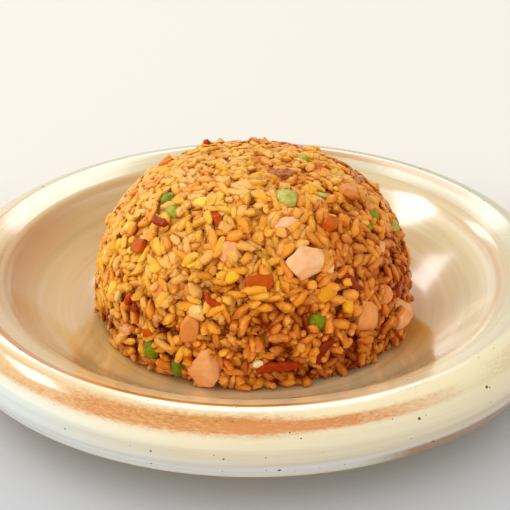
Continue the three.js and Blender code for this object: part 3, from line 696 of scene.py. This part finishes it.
def scrap_shape(place, size):
    """A small block, tapered to one end, that the cuts then round."""
    shape = bmesh.new()
    bmesh.ops.create_cube(shape, size=1.0)
    for vert in shape.verts:
        taper = 1.0 - SCRAP_TAPER * (vert.co.x + 0.5)
        vert.co = Vector((vert.co.x * size[0], vert.co.y * size[1] * taper, vert.co.z * size[2] * taper))
    bmesh.ops.transform(shape, matrix=place, verts=shape.verts)
    return shape


def topping_shapes(kind):
    """The solids, a little swollen by cooking, and the scraps of a kind, each as a mesh with a tone and
    the number of flats that the knife leaves on it by chance. Tones that aren't given are spread evenly."""
    flats = FINISHES[kind]["flats"]
    for index, node in enumerate(nodes_named(kind)):
        shape = welded_copy(node)
        middle = sum((v.co for v in shape.verts), Vector()) / len(shape.verts)
        swell = Vector(SWOLLEN.get(node, [FINISHES[kind]["swell"]] * 3))
        for vert in shape.verts:
            vert.co = middle + (vert.co - middle) * swell
        knife_cuts(shape, middle, CUTS.get(node, []))
        yield shape, TONES.get(node, (0.3 + index * 0.37) % 1.0), 0 if node in CUTS else flats
    for index, (azimuth, elevation, *size, turn) in enumerate(SCRAPS[kind]):
        size = [side * MM for side in size]
        shape = scrap_shape(scrap_place(azimuth, elevation, size[2], turn), size)
        yield shape, (0.2 + index * 0.43) % 1.0, flats


def carve(points, normals, piece, flats, deep, lump, lump_size):
    """Cuts flats into each piece as a knife does, then moves its skin in and out by an uneven wave."""
    rng = np.random.default_rng(SEED)
    for number, flat_count in enumerate(flats):
        own = np.flatnonzero(piece == number)
        middle = points[own].mean(0)
        for _ in range(flat_count):
            facing = rng.normal(size=3)
            facing /= np.linalg.norm(facing)
            height = (points[own] - middle) @ facing
            excess = np.maximum(height - height.max() * rng.uniform(*deep), 0)
            points[own] -= excess[:, None] * facing * FLAT_SHARE
    points += normals * bumps(points, lump_size, 0.5)[:, None] * lump


def dress(kind, skin):
    """One piece for all the solids and scraps of a kind, with the uneven skin of the real thing."""
    finish = FINISHES[kind]
    whole = bmesh.new()
    tone_layer = whole.verts.layers.float.new("tone")
    piece_layer = whole.verts.layers.float.new("piece")
    flats = []
    for number, (shape, tone, flat_count) in enumerate(topping_shapes(kind)):
        start = len(whole.verts)
        flats.append(flat_count)
        for vert in shape.verts:
            made = whole.verts.new(vert.co)
            made[tone_layer] = tone
            made[piece_layer] = number
        whole.verts.ensure_lookup_table()
        for face in shape.faces:
            whole.faces.new([whole.verts[start + v.index] for v in face.verts])
        shape.free()
    mesh = bpy.data.meshes.new(finish["piece"])
    whole.to_mesh(mesh)
    whole.free()
    rough = bpy.data.objects.new(finish["piece"] + "_rough", mesh)
    bpy.context.scene.collection.objects.link(rough)
    for subdivision, levels in (("SIMPLE", finish["plain"]), ("CATMULL_CLARK", finish["smooth"])):
        if levels:
            modifier = rough.modifiers.new(subdivision, "SUBSURF")
            modifier.subdivision_type = subdivision
            modifier.levels = modifier.render_levels = levels
    piece = baked(rough, finish["piece"])
    mesh = piece.data
    points, normals = vectors(mesh, "co"), vectors(mesh, "normal")
    number = np.empty(len(mesh.vertices))
    mesh.attributes["piece"].data.foreach_get("value", number)
    carve(points, normals, np.rint(number), flats, finish.get("deep", FLAT_HEIGHTS),
          finish["lump"], finish["lump_size"])
    mesh.vertices.foreach_set("co", points.ravel())
    mesh.polygons.foreach_set("use_smooth", [True] * len(mesh.polygons))
    mesh.materials.clear()
    mesh.materials.append(skin)
    mesh.update()
    return finished(piece, "root", finish["slot"], *nodes_named(kind))


def moist_food(name, ramp, mottle_size, roughness, subsurface, relief_strength):
    """Cooked food with a moist skin: the ramp is read at each piece's own tone and a fine noise. Light
    goes a little way in and comes out warm, and the oil on it gives a soft, warm shine."""
    made, tree, shader = material(name, {
        "Roughness": roughness, "Specular IOR Level": 0.35, "Specular Tint": colour("#FFC890"),
        "Subsurface Weight": subsurface, "Subsurface Radius": (1.0, 0.45, 0.2),
        "Subsurface Scale": 2.0 * MM})
    place = add(tree, "ShaderNodeTexCoord").outputs["Object"]
    mottle = add(tree, "ShaderNodeTexNoise",
                 {"Vector": place, "Scale": 1 / mottle_size, "Detail": 3.0, "Roughness": 0.6}).outputs["Fac"]
    tone = add(tree, "ShaderNodeAttribute", attribute_name="tone").outputs["Fac"]
    spread = add(tree, "ShaderNodeMath", {0: mottle, 1: 0.5}, operation="SUBTRACT").outputs[0]
    mix = add(tree, "ShaderNodeMath", {0: spread, 1: 0.9, 2: tone}, operation="MULTIPLY_ADD").outputs[0]
    blend = add(tree, "ShaderNodeValToRGB", {"Fac": mix}, ramp=ramp)
    link(tree, blend.outputs["Color"], shader, "Base Color")
    relief = add(tree, "ShaderNodeBump",
                 {"Height": mottle, "Strength": relief_strength, "Distance": 0.5 * MM})
    link(tree, relief.outputs["Normal"], shader, "Normal")
    return made


def make_toppings():
    """Boiled and fried pieces, all moist; peas are the most wrinkled."""
    for kind, skin in SKINS.items():
        dress(kind, moist_food(*skin))


# ---------------------------------------------------------------- packing the grains

def topping_places():
    """Every topping as an ellipsoid: its middle, axes and half sizes, the way out of the dome in those
    axes, and how much of its size keeps clear of grains."""
    middles, turns, halves, outs, clears = [], [], [], [], []
    for kind in FINISHES:
        names = nodes_named(kind) + [kind] * len(SCRAPS[kind])
        for name, (shape, _, _) in zip(names, topping_shapes(kind)):
            points = np.array([v.co[:] for v in shape.verts])
            shape.free()
            middle = points.mean(0)
            _, turn = np.linalg.eigh(np.cov((points - middle).T))
            spread = (points - middle) @ turn
            middles.append(middle + turn @ ((spread.max(0) + spread.min(0)) / 2))
            turns.append(turn)
            halves.append((spread.max(0) - spread.min(0)) / 2)
            outs.append(dome_depth(middles[-1][None])[1][0] @ turn)
            clears.append(CLEAR.get(name, CLEAR.get(kind, CLEAR_USUAL)))
    return [np.array(part) for part in (middles, turns, halves, outs, clears)]


def kept_clear(toppings):
    """What grains keep off, as ellipsoids: every topping, narrowed so that grains lap over its edge, and
    every gap. Gives their middles, axes and half sizes."""
    middles, turns, halves, outs, clears = toppings
    halves = halves * (clears[:, None] + (1 - clears[:, None]) * outs ** 2)
    gaps = [dome_direction(azimuth, elevation, GAP_DEPTH)[:] for azimuth, elevation, _ in GAPS]
    radii = [[radius] * 3 for _, _, radius in GAPS]
    level = [np.eye(3)] * len(GAPS)
    return np.vstack([middles, gaps]), np.vstack([turns, level]), np.vstack([halves, radii])


def lapped(points, toppings):
    """From 0 to 1, how far a grain there may climb over the edge of a topping: not at all over one that
    keeps wholly clear, and fully over one that keeps 0.7 of its size clear or less."""
    climb = np.zeros(len(points))
    for middle, turn, halves, out, clear in zip(*toppings):
        near = np.flatnonzero(np.abs(points - middle).max(1) < (LAP_END + 0.1) * halves.max())
        local = (points[near] - middle) @ turn
        local -= (local @ out)[:, None] * out
        far = np.linalg.norm(local / halves, axis=1)
        ring = np.clip((far - LAP_START) / LAP_RISE, 0, 1) * np.clip((LAP_END - far) / LAP_FALL, 0, 1)
        climb[near] = np.maximum(climb[near], ring * min(1, (1 - clear) / 0.3))
    return climb


def near_pairs(middles, reach):
    """Pairs of grains whose middles are within reach of each other."""
    tree = kdtree.KDTree(len(middles))
    for index, point in enumerate(middles):
        tree.insert(point, index)
    tree.balance()
    pairs = [(i, j) for i, point in enumerate(middles) for _, j, _ in tree.find_range(point, reach)
             if j > i]
    return np.array(pairs).T


def closest_on_segments(p, u, hp, q, v, hq):
    """How far along from their middles two segments come closest to each other. p and q are their
    middles, u and v their directions, and hp and hq half their lengths."""
    w = p - q
    b = (u * v).sum(1)
    d = (u * w).sum(1)
    e = (v * w).sum(1)
    span = np.maximum(1 - b * b, 1e-6)
    s = np.clip((b * e - d) / span, -hp, hp)
    t = np.clip(b * s + e, -hq, hq)
    s = np.clip(b * t - d, -hp, hp)
    return s, t


def push_out(inside, radius, bodies):
    """Moves rod ends that are inside a topping or a gap half the way out of it."""
    for middle, turn, halves in zip(*bodies):
        near = np.flatnonzero(np.abs(inside - middle).max(1) < halves.max() + GRAIN_WIDTH)
        room = halves + radius[near, None] * TOPPING_SQUEEZE
        local = (inside[near] - middle) @ turn / room
        far = np.maximum(np.linalg.norm(local, axis=1), 0.05)[:, None]
        step = local / far * (far < 1) - local * (far < 1)
        inside[near] += step * room @ turn.T * 0.5


def pack_grains(length, width, toppings):
    """Middles and directions of grains pushed together under the rice's surface until they hardly
    overlap, as the bowl that moulded them did. Each grain is a rod with round ends, and lies flatter
    against the surface where the rice is firm."""
    rng = np.random.default_rng(SEED)
    count = len(length)
    middles = np.empty((0, 3))
    while len(middles) < count:
        tries = rng.uniform([-RICE_RADIUS, -RICE_RADIUS, RICE_BASE],
                            [RICE_RADIUS, RICE_RADIUS, RICE_BASE + RICE_HEIGHT], (count * 4, 3))
        depth, _ = dome_depth(tries)
        middles = np.vstack([middles, tries[(depth > 0.5 * MM) & (depth < LAYER)]])
    middles = middles[:count]
    _, normal = dome_depth(middles)
    loose = looseness(middles)
    axis = rng.normal(size=(count, 3))
    axis -= ((FLAT - LESS_FLAT * loose) * (axis * normal).sum(1))[:, None] * normal
    axis /= np.linalg.norm(axis, axis=1)[:, None]
    radius = width / 2
    half = np.maximum(length / 2 - radius, 0.1 * MM)
    tilt = rng.uniform(-PROUD_ENDS, SUNK_ENDS, (2, count)) * loose
    bodies = kept_clear(toppings)
    for round_number in range(PACKING_ROUNDS):
        if round_number % PAIRS_EVERY == 0:
            first, second = near_pairs(middles, GRAIN_LENGTH * 1.15)
            surface = slumped(middles) - PROUD * (1 - looseness(middles)) - LAP * lapped(middles, toppings)
        ends = [middles - axis * half[:, None], middles + axis * half[:, None]]
        push = [np.zeros_like(middles), np.zeros_like(middles)]
        hits = np.ones(count)
        s, t = closest_on_segments(middles[first], axis[first], half[first],
                                   middles[second], axis[second], half[second])
        gap = (middles[first] + axis[first] * s[:, None]) - (middles[second] + axis[second] * t[:, None])
        distance = np.maximum(np.linalg.norm(gap, axis=1), 1e-7)
        overlap = (radius[first] + radius[second]) * SQUEEZE - distance
        touching = overlap > 0
        first_hit, second_hit = first[touching], second[touching]
        shove = gap[touching] / distance[touching, None] * overlap[touching, None] * 0.5
        for grain, place, sign in ((first_hit, s[touching], 1), (second_hit, t[touching], -1)):
            share = 0.5 + 0.5 * place / half[grain]
            np.add.at(push[0], grain, sign * shove * (1 - share)[:, None])
            np.add.at(push[1], grain, sign * shove * share[:, None])
            np.add.at(hits, grain, CROWDED)
        for k in (0, 1):
            ends[k] += push[k] * SHOVE / hits[:, None]
            push_out(ends[k], radius, bodies)
            depth, normal = dome_depth(ends[k])
            ends[k] += normal * (np.minimum(depth - radius - surface - tilt[k], 0) + SETTLE)[:, None]
            ends[k] += normal * np.maximum(depth - LAYER, 0)[:, None] * 0.5
            ends[k][:, 2] = np.maximum(ends[k][:, 2], RICE_BASE + radius - 0.2 * MM)
        middles = (ends[0] + ends[1]) / 2
        axis = ends[1] - ends[0]
        axis /= np.maximum(np.linalg.norm(axis, axis=1), 1e-7)[:, None]
    return middles, axis


# ---------------------------------------------------------------- rice

def grain_mesh(name, bend, taper, cut, uneven, rng):
    """One cooked grain of unit length, width and thickness along X, thickest near its germ end. A cut
    below 1 breaks its other end off flat there, from -1 at the germ to 1 at the tip, and uneven makes
    its sides less round."""
    sides, rings, whole = GRAIN_SIDES, GRAIN_RINGS, cut >= 1
    points, faces = [(-0.5, bend * -0.5, 0)], []
    for ring in range(rings):
        if whole:
            t = -math.cos(math.pi * ((ring + 1) / (rings + 1)))
            x = 0.5 * t
        else:
            t = -1 + (1 + cut) * ((ring + 1) / rings) ** 0.8
            x = (t + 1) / (1 + cut) - 0.5
        full = 0.5 * (1 - min(abs(t), 0.999) ** 2.9) ** 0.55 * (1 - taper * t)
        for side in range(sides):
            angle = 2 * math.pi * (side + 0.5 * (ring % 2)) / sides
            swell = full * (1 + uneven * rng.normal())
            points.append((x, swell * math.cos(angle) + bend * (0.5 - t * t), swell * math.sin(angle)))
    points.append((0.5, bend * -0.5 if whole else points[-1][1] * 0.2, 0))
    last = len(points) - 1
    for side in range(sides):
        after = (side + 1) % sides
        faces.append((0, 1 + after, 1 + side))
        for ring in range(rings - 1):
            a, b = 1 + ring * sides, 1 + (ring + 1) * sides
            faces.append((a + side, a + after, b + after, b + side))
        end = 1 + (rings - 1) * sides
        faces.append((end + side, end + after, last))
    grain = mesh_object(name, points, faces)
    tips = [abs(point[0] * 2) ** 4 for point in points]
    grain.data.attributes.new("tip", "FLOAT", "POINT").data.foreach_set("value", tips)
    return grain


def scatter_tree():
    """Puts one of a collection's shapes on each point, turned and sized by the point's attributes."""
    tree, given, result = geometry_tree("scattered_food", [
        ("Shapes", "NodeSocketCollection", None), ("Scale", "NodeSocketFloat", 1.0),
        ("Seed", "NodeSocketInt", 0), ("Skin", "NodeSocketMaterial", None)])
    shapes = add(tree, "GeometryNodeCollectionInfo",
                 {"Collection": given.outputs["Shapes"], "Separate Children": True, "Reset Children": True})
    turn = add(tree, "GeometryNodeInputNamedAttribute", {"Name": "turn"}, data_type="QUATERNION")
    size = add(tree, "GeometryNodeInputNamedAttribute", {"Name": "size"}, data_type="FLOAT_VECTOR")
    scaled = add(tree, "ShaderNodeVectorMath",
                 {0: size.outputs["Attribute"], "Scale": given.outputs["Scale"]}, operation="SCALE")
    # A number past the last shape starts again at the first.
    lowest, highest = 4, 5
    which = add(tree, "FunctionNodeRandomValue", {"Seed": given.outputs["Seed"], lowest: 0, highest: 20},
                data_type="INT")
    placed = add(tree, "GeometryNodeInstanceOnPoints", {
        "Points": given.outputs["Geometry"], "Instance": shapes.outputs["Instances"],
        "Pick Instance": True, "Instance Index": which.outputs[2],
        "Rotation": turn.outputs["Attribute"], "Scale": scaled.outputs["Vector"]})
    real = add(tree, "GeometryNodeRealizeInstances", {"Geometry": placed.outputs["Instances"]})
    painted = add(tree, "GeometryNodeSetMaterial",
                  {"Geometry": real.outputs["Geometry"], "Material": given.outputs["Skin"]})
    tree.links.new(painted.outputs["Geometry"], result.inputs["Geometry"])
    return tree


def turned_along(axis, out, roll):
    """Quaternions that lay a grain's length along axis with its broad side outwards, then roll it."""
    quaternions = []
    for a, o, r in zip(axis, out, roll):
        x = Vector(a)
        z = Vector(o) - x * x.dot(Vector(o))
        if z.length < 1e-4:
            z = x.orthogonal()
        z.normalize()
        y = z.cross(x)
        basis = Matrix((x, y, z)).transposed()
        quaternions.extend((basis @ Matrix.Rotation(r, 3, "X")).to_quaternion())
    return quaternions


def scatter(name, shapes, tree, skin, middles, turns, sizes, tones):
    """One piece for one kind of grain."""
    cloud = mesh_object(name + "_points", middles, [])
    attributes = cloud.data.attributes
    attributes.new("turn", "QUATERNION", "POINT").data.foreach_set("value", turns)
    attributes.new("size", "FLOAT_VECTOR", "POINT").data.foreach_set("vector", np.ravel(sizes))
    attributes.new("tone", "FLOAT", "POINT").data.foreach_set("value", tones)
    run_tree(cloud, tree, {"Shapes": shapes, "Scale": 1.0, "Seed": SEED, "Skin": skin})
    return baked(cloud, name)


def press(mesh, toppings):
    """Makes the grains uneven, flattens what stands past the skin where the bowl pressed it, and marks
    how deep each place is and how far its face is turned from straight out."""
    points, normals = vectors(mesh, "co"), vectors(mesh, "normal")
    points += UNEVEN * np.array([noise.noise_vector(Vector(p) / UNEVEN_SIZE) for p in points])
    depth, out = dome_depth(points)
    past = np.maximum(PRESSED - depth - LAP * lapped(points, toppings), 0)
    points -= out * (past * (1 - looseness(points)) ** 0.5)[:, None]
    mesh.vertices.foreach_set("co", points.ravel())
    mesh.polygons.foreach_set("use_smooth", [False] * len(mesh.polygons))
    marks = {"deep": (depth - 0.35 * np.maximum(slumped(points), 0)) / LAYER,
             "aside": 1 - (normals * out).sum(1)}
    for name, mark in marks.items():
        mesh.attributes.new(name, "FLOAT", "POINT").data.foreach_set("value", np.clip(mark, 0, 1))
    mesh.update()


def rice_skin(name, ramp, roughness):
    """Cooked long-grain rice, fried in oil and sauce. It is half clear, so light goes a little way in.
    The tips are paler. Faces turned straight out are painted lighter as painted light, and faces turned aside
    or lying deep are painted darker as painted shade between the grains."""
    made, tree, shader = material(name, {
        "Roughness": roughness, "Specular IOR Level": 0.3, "Specular Tint": colour("#FFC070"),
        "Subsurface Weight": 0.3, "Subsurface Radius": (1.0, 0.45, 0.12), "Subsurface Scale": 1.0 * MM})
    tone = add(tree, "ShaderNodeAttribute", attribute_name="tone").outputs["Fac"]
    place = add(tree, "ShaderNodeTexCoord").outputs["Object"]
    blotch = add(tree, "ShaderNodeTexNoise",
                 {"Vector": place, "Scale": 1 / (2.5 * MM), "Detail": 3.0, "Roughness": 0.6}).outputs["Fac"]
    spread = add(tree, "ShaderNodeMath", {0: blotch, 1: 0.5}, operation="SUBTRACT").outputs[0]
    mix = add(tree, "ShaderNodeMath", {0: spread, 1: 1.2, 2: tone}, operation="MULTIPLY_ADD").outputs[0]
    blend = add(tree, "ShaderNodeValToRGB", {"Fac": mix}, ramp=ramp)
    tip = add(tree, "ShaderNodeAttribute", attribute_name="tip").outputs["Fac"]
    aside = add(tree, "ShaderNodeAttribute", attribute_name="aside").outputs["Fac"]
    # Faces turned straight out of the dome are painted lighter towards the tip colour: a painted highlight
    # where the soft light falls most.
    facing = add(tree, "ShaderNodeMath", {0: aside, 1: -0.6, 2: 0.36}, operation="MULTIPLY_ADD",
                 use_clamp=True).outputs[0]
    pale = add(tree, "ShaderNodeMath", {0: tip, 1: 0.3, 2: facing}, operation="MULTIPLY_ADD").outputs[0]
    tipped_and_lit = add(tree, "ShaderNodeMix", {0: pale, 6: blend.outputs["Color"], 7: colour(TIP_AND_HIGHLIGHT_COLOUR)},
                 data_type="RGBA").outputs[2]
    # Faces turned aside and places deep under the dome's skin are painted darker towards the crevice colour:
    # painted shade between the grains and in the dents.
    deep = add(tree, "ShaderNodeAttribute", attribute_name="deep").outputs["Fac"]
    between = add(tree, "ShaderNodeMath", {0: aside, 1: 0.54}, operation="MULTIPLY").outputs[0]
    sauce = add(tree, "ShaderNodeMath", {0: deep, 1: 1.8, 2: between}, operation="MULTIPLY_ADD",
                use_clamp=True).outputs[0]
    shaded = add(tree, "ShaderNodeMix", {0: sauce, 6: tipped_and_lit, 7: colour(CREVICE_SHADE_COLOUR)},
                 data_type="RGBA").outputs[2]
    link(tree, shaded, shader, "Base Color")
    relief = add(tree, "ShaderNodeBump", {"Height": blotch, "Strength": 0.8, "Distance": 0.35 * MM})
    link(tree, relief.outputs["Normal"], shader, "Normal")
    return made


def make_bed(skin):
    """The rice under the loose grains, closed underneath. It comes up between the grains where the bowl
    pressed them, and lies a layer's depth down where they are loose, and under the gaps. Its colour darkens
    with looseness, as painted shade down in the gaps."""
    rows, columns = BED_ROWS, BED_COLUMNS
    places = [(360 * column / columns, 90 * row / rows) for row in range(rows) for column in range(columns)]
    places.append((0, 90))
    skin_points = np.array([dome_direction(azimuth, elevation, 0) for azimuth, elevation in places])
    sunk = np.maximum(slumped(skin_points), 0) + BED_COVER + BED_SUNK * looseness(skin_points) ** 1.5
    for azimuth, elevation, radius in GAPS:
        middle = np.array(dome_direction(azimuth, elevation, GAP_DEPTH))
        distance = np.linalg.norm(skin_points - middle, axis=1)
        sunk = np.where(distance < radius * 1.2, np.maximum(sunk, radius + 3 * MM), sunk)
    points, faces = [], []
    for (azimuth, elevation), depth in zip(places, np.minimum(sunk, LAYER)):
        point = dome_direction(azimuth, elevation, depth)
        out = (point - Vector((0, 0, RICE_BASE))).normalized()
        points.append(point + out * BED_LUMP * noise.noise(point / BED_LUMP_SIZE))
    for point in points[:columns]:
        point.z = RICE_BASE
    points.append(Vector((0, 0, RICE_BASE)))
    top, foot = len(points) - 2, len(points) - 1
    for column in range(columns):
        after = (column + 1) % columns
        for row in range(rows - 1):
            a, b = row * columns, (row + 1) * columns
            faces.append((a + column, a + after, b + after, b + column))
        faces.append(((rows - 1) * columns + column, (rows - 1) * columns + after, top))
        faces.append((after, column, foot))
    bed = mesh_object("rice_bed", points, faces)
    # Looser rice gives the bed a darker tone: painted shade in the gaps.
    tones = looseness(vectors(bed.data, "co"))
    bed.data.attributes.new("tone", "FLOAT", "POINT").data.foreach_set("value", tones)
    bed.data.materials.append(skin)
    return finished(bed, "root", "fried_rice", "rice_heap")


def grain_shapes(name, cuts):
    """A collection of grain shapes, outside the scene, one for each cut. They bend and taper by chance."""
    rng = np.random.default_rng(SEED + 2)
    shapes = bpy.data.collections.new(name)
    for index, cut in enumerate(cuts):
        bend, taper = rng.uniform(-BEND, BEND), rng.uniform(*TAPER)
        grain = grain_mesh(f"{name}_{index}", bend, taper, cut, LUMPINESS, rng)
        bpy.context.scene.collection.objects.unlink(grain)
        shapes.objects.link(grain)
    return shapes


# How dark a grain's tone is, from 0 to 1: a start, what chance adds at most, what loose rice adds and up
# to which looseness, what lying to the right adds on both sides and on the right alone, and what the slow
# waves add, which are WAVE across. Chance and the waves stand for the sauce that each grain took up. The
# looseness term is partly sauce gathered low down and partly painted light that leaves the firm top pale,
# and the terms for lying to the right are painted light on the left and painted shade on the right.
SAUCE_START, SAUCE_CHANCE, SAUCE_AND_LIGHT_LOOSE, SAUCE_LOOSE_LIMIT = -0.66, 0.6, 1.1, 0.88
SHADE_ACROSS, SHADE_RIGHT, SAUCE_WAVES, WAVE = 0.5, 0.38, 0.8, 1.6 * CLUMP
# The paler colour of the tips, also used for the painted highlight on faces turned out, and the colour of the
# painted shade between the grains.
TIP_AND_HIGHLIGHT_COLOUR, CREVICE_SHADE_COLOUR = "#FFC05E", "#963402"
ROLL_SPREAD, KIND_SPREAD = 0.6, 0.22     # radians that grains roll, and how much the kinds mix
BEND, TAPER, LUMPINESS = 0.22, (0.04, 0.2), 0.11

# Each kind of rice: its share, its colours from the least to the most sauce, and its roughness.
RICE_KINDS = {
    "golden_rice": (0.46, [(0.0, "#FFC240"), (0.35, "#FCA41E"), (0.6, "#EE8C18"), (1.0, "#CC5E08")], 0.3),
    "peach_rice": (0.20, [(0.0, "#FFC66C"), (0.5, "#FDAA46"), (1.0, "#E88426")], 0.32),
    "sauced_rice": (0.14, [(0.0, "#F49E2C"), (0.5, "#DE7810"), (1.0, "#B25004")], 0.26),
}
# The bed's colours from firm to loose rice: the darker loose end is painted shade down in the gaps between
# the grains.
BED_SHADE_COLOURS, BED_ROUGHNESS = [(0.0, "#DC8A2C"), (0.5, "#A8560E"), (1.0, "#5E2206")], 0.5
WHOLE_CUTS, BROKEN_CUTS = [1, 1, 1, 1, 0.7], [0.55, 0.3, 1, 0.1]


def make_rice():
    """Real grains over the bed. Those low down are darker, partly from more sauce and partly as painted light
    that leaves the top pale, and those on the right are darker as painted shade.
    """
    rng = np.random.default_rng(SEED + 1)
    cut_length = rng.choice(list(BROKEN), GRAIN_COUNT, p=list(BROKEN.values()))
    length = GRAIN_LENGTH * cut_length * rng.normal(1, LENGTH_SPREAD, GRAIN_COUNT)
    width = np.clip(rng.normal(GRAIN_WIDTH, WIDTH_SPREAD, GRAIN_COUNT), *WIDTH_LIMITS)
    toppings = topping_places()
    middles, axis = pack_grains(length, (width + GRAIN_THICKNESS) / 2, toppings)
    _, out = dome_depth(middles)
    turns = np.array(turned_along(axis, out, rng.normal(0, ROLL_SPREAD, GRAIN_COUNT))).reshape(-1, 4)
    sizes = np.stack([length, width, width * GRAIN_THICKNESS / GRAIN_WIDTH], 1)
    waves = np.array([noise.noise(Vector(point) / WAVE) for point in middles])
    # The tone by place: looseness gives sauce low down and a painted light top, and lying to the right gives
    # painted shade.
    aside = middles[:, 0] / RICE_RADIUS
    sauce_and_shade_by_place = (SAUCE_AND_LIGHT_LOOSE * np.minimum(looseness(middles), SAUCE_LOOSE_LIMIT)
                + SHADE_ACROSS * aside + SHADE_RIGHT * np.maximum(aside, 0))
    by_chance = SAUCE_CHANCE * rng.uniform(0, 1, GRAIN_COUNT)
    tones = np.clip(SAUCE_START + by_chance + sauce_and_shade_by_place + SAUCE_WAVES * waves, 0, 1)
    whole = grain_shapes("whole_grain", WHOLE_CUTS)
    broken = grain_shapes("broken_grain", BROKEN_CUTS)
    tree = scatter_tree()
    # Grains of one kind lie in loose groups, as clumps that took up more or less of the sauce.
    grouping = np.array([noise.noise(Vector(point) / CLUMP + Vector((7, 3, 5))) for point in middles])
    chance = np.argsort(np.argsort(grouping + rng.normal(0, KIND_SPREAD, GRAIN_COUNT))) / GRAIN_COUNT
    short = cut_length < 1
    start = 0.0
    for name, (share, ramp, roughness) in RICE_KINDS.items():
        span = share / sum(kind[0] for kind in RICE_KINDS.values())
        chosen = (chance >= start) & (chance < start + span)
        start += span
        skin = rice_skin("fried_" + name, ramp, roughness)
        for part_name, part, shapes in ((name, chosen & ~short, whole),
                                        ("broken_" + name, chosen & short, broken)):
            piece = scatter(part_name, shapes, tree, skin, middles[part], np.ravel(turns[part]),
                            sizes[part], tones[part])
            press(piece.data, toppings)
            finished(piece, "root", "fried_rice")
    for grain in list(whole.objects) + list(broken.objects):
        bpy.data.objects.remove(grain)
    make_bed(rice_skin("shaded_rice_bed", BED_SHADE_COLOURS, BED_ROUGHNESS))


# ---------------------------------------------------------------- camera, table and light

CAMERA_DISTANCE = 500 * MM
CAMERA_ELEVATION = 27.14
CAMERA_LENS, CAMERA_SENSOR = 82.2, 36
CAMERA_AIM = Vector((0.86 * MM, -1.39 * MM, -2.72 * MM))    # from the middle of the rim
TABLE_REACH = 6.0                    # metres from the plate's axis to the table's edges

# Soft lights: degrees round from straight behind, degrees up, size in metres, and power in watts. The
# windows show in the gloss alone, and the wall never does.
WINDOWS = {"window_behind": (2, 47, (0.66, 0.62), 5.4), "window_left": (-69, 47, (0.58, 0.32), 4.4),
           "window_small": (-25, 34, (0.48, 0.22), 1.5)}
WALL = (-64, 44, (0.7, 0.42), 1.7)
LIGHT_DISTANCE = 1.6                 # metres
LIGHT_AIM = Vector((0, 0, 30 * MM))

# The room's own brightness, and how much more comes from the left and from in front.
ROOM, ROOM_SIDES = 0.71, {(-1, 0, 0): 0.92, (0, -1, 0): 0.5}


def make_camera():
    """Aimed a little under the middle of the rim, from in front and above."""
    rim_middle = Vector((0, 0, PLATE_TOP))
    e = math.radians(CAMERA_ELEVATION)
    data = bpy.data.cameras.new("camera")
    data.lens = CAMERA_LENS
    data.sensor_width = CAMERA_SENSOR
    camera = bpy.data.objects.new("camera", data)
    bpy.context.scene.collection.objects.link(camera)
    camera.location = rim_middle + CAMERA_DISTANCE * Vector((0, -math.cos(e), math.sin(e)))
    aim = rim_middle + CAMERA_AIM
    camera.rotation_euler = (aim - camera.location).to_track_quat("-Z", "Y").to_euler()
    bpy.context.scene.camera = camera


def make_table():
    """A matt painted top, paler and warmer behind the plate than in front of it; the darker, cooler front is
    painted shade.
    """
    corners = [(x * TABLE_REACH, y * TABLE_REACH, 0) for x, y in ((-1, -1), (1, -1), (1, 1), (-1, 1))]
    top = mesh_object("table", corners, [(0, 1, 2, 3)], smooth=False)
    paint, tree, shader = material("painted_table", {"Roughness": 0.8})
    place = add(tree, "ShaderNodeTexCoord").outputs["Object"]
    back = add(tree, "ShaderNodeSeparateXYZ", {"Vector": place}).outputs["Y"]
    share = add(tree, "ShaderNodeMath", {0: back, 1: 3.0, 2: 0.5}, operation="MULTIPLY_ADD").outputs[0]
    # Darker and cooler towards the front: painted shade in front of the plate.
    shade = add(tree, "ShaderNodeValToRGB", {"Fac": share}, ramp=[(0.0, "#CACED6"), (1.0, "#F2EEE8")])
    link(tree, shade.outputs["Color"], shader, "Base Color")
    top.data.materials.append(paint)


def make_light(name, bearing, height, size, power, tint):
    """A soft rectangular light that the camera doesn't see."""
    data = bpy.data.lights.new(name, "AREA")
    data.shape = "RECTANGLE"
    data.size, data.size_y = size
    data.energy = power
    data.color = colour(tint)[:3]
    lamp = bpy.data.objects.new(name, data)
    lamp.visible_camera = False
    bpy.context.scene.collection.objects.link(lamp)
    a, e = math.radians(bearing), math.radians(height)
    towards = Vector((math.sin(a) * math.cos(e), math.cos(a) * math.cos(e), math.sin(e)))
    lamp.location = LIGHT_AIM + LIGHT_DISTANCE * towards
    lamp.rotation_euler = (-towards).to_track_quat("-Z", "Y").to_euler()
    return lamp


def make_lights():
    """A pale room, brighter to the left and in front. Three soft windows give the gloss, two behind and
    one to the left, and a pale wall on the left gives light without gloss."""
    world = bpy.data.worlds.new("pale_room")
    world.use_nodes = True
    tree = world.node_tree
    way = add(tree, "ShaderNodeTexCoord").outputs["Generated"]
    strength = ROOM
    for bright_side, power in ROOM_SIDES.items():
        facing = add(tree, "ShaderNodeVectorMath", {0: way, 1: bright_side}, operation="DOT_PRODUCT")
        lit = add(tree, "ShaderNodeMath", {0: facing.outputs["Value"], 1: 0.0},
                  operation="MAXIMUM").outputs[0]
        strength = add(tree, "ShaderNodeMath", {0: lit, 1: power, 2: strength},
                       operation="MULTIPLY_ADD").outputs[0]
    background = tree.nodes["Background"]
    background.inputs["Color"].default_value = colour("#FFFDF8")
    link(tree, strength, background, "Strength")
    bpy.context.scene.world = world
    for name, (bearing, height, size, power) in WINDOWS.items():
        make_light(name, bearing, height, size, power, "#F6FAFF").visible_diffuse = False
    make_light("wall_left", *WALL, "#FFF6E8").visible_glossy = False


# ---------------------------------------------------------------- the scene

make_plate(stoneware_glaze())
make_toppings()
make_rice()
make_camera()
make_table()
make_lights()
bpy.context.scene.view_settings.view_transform = "Standard"
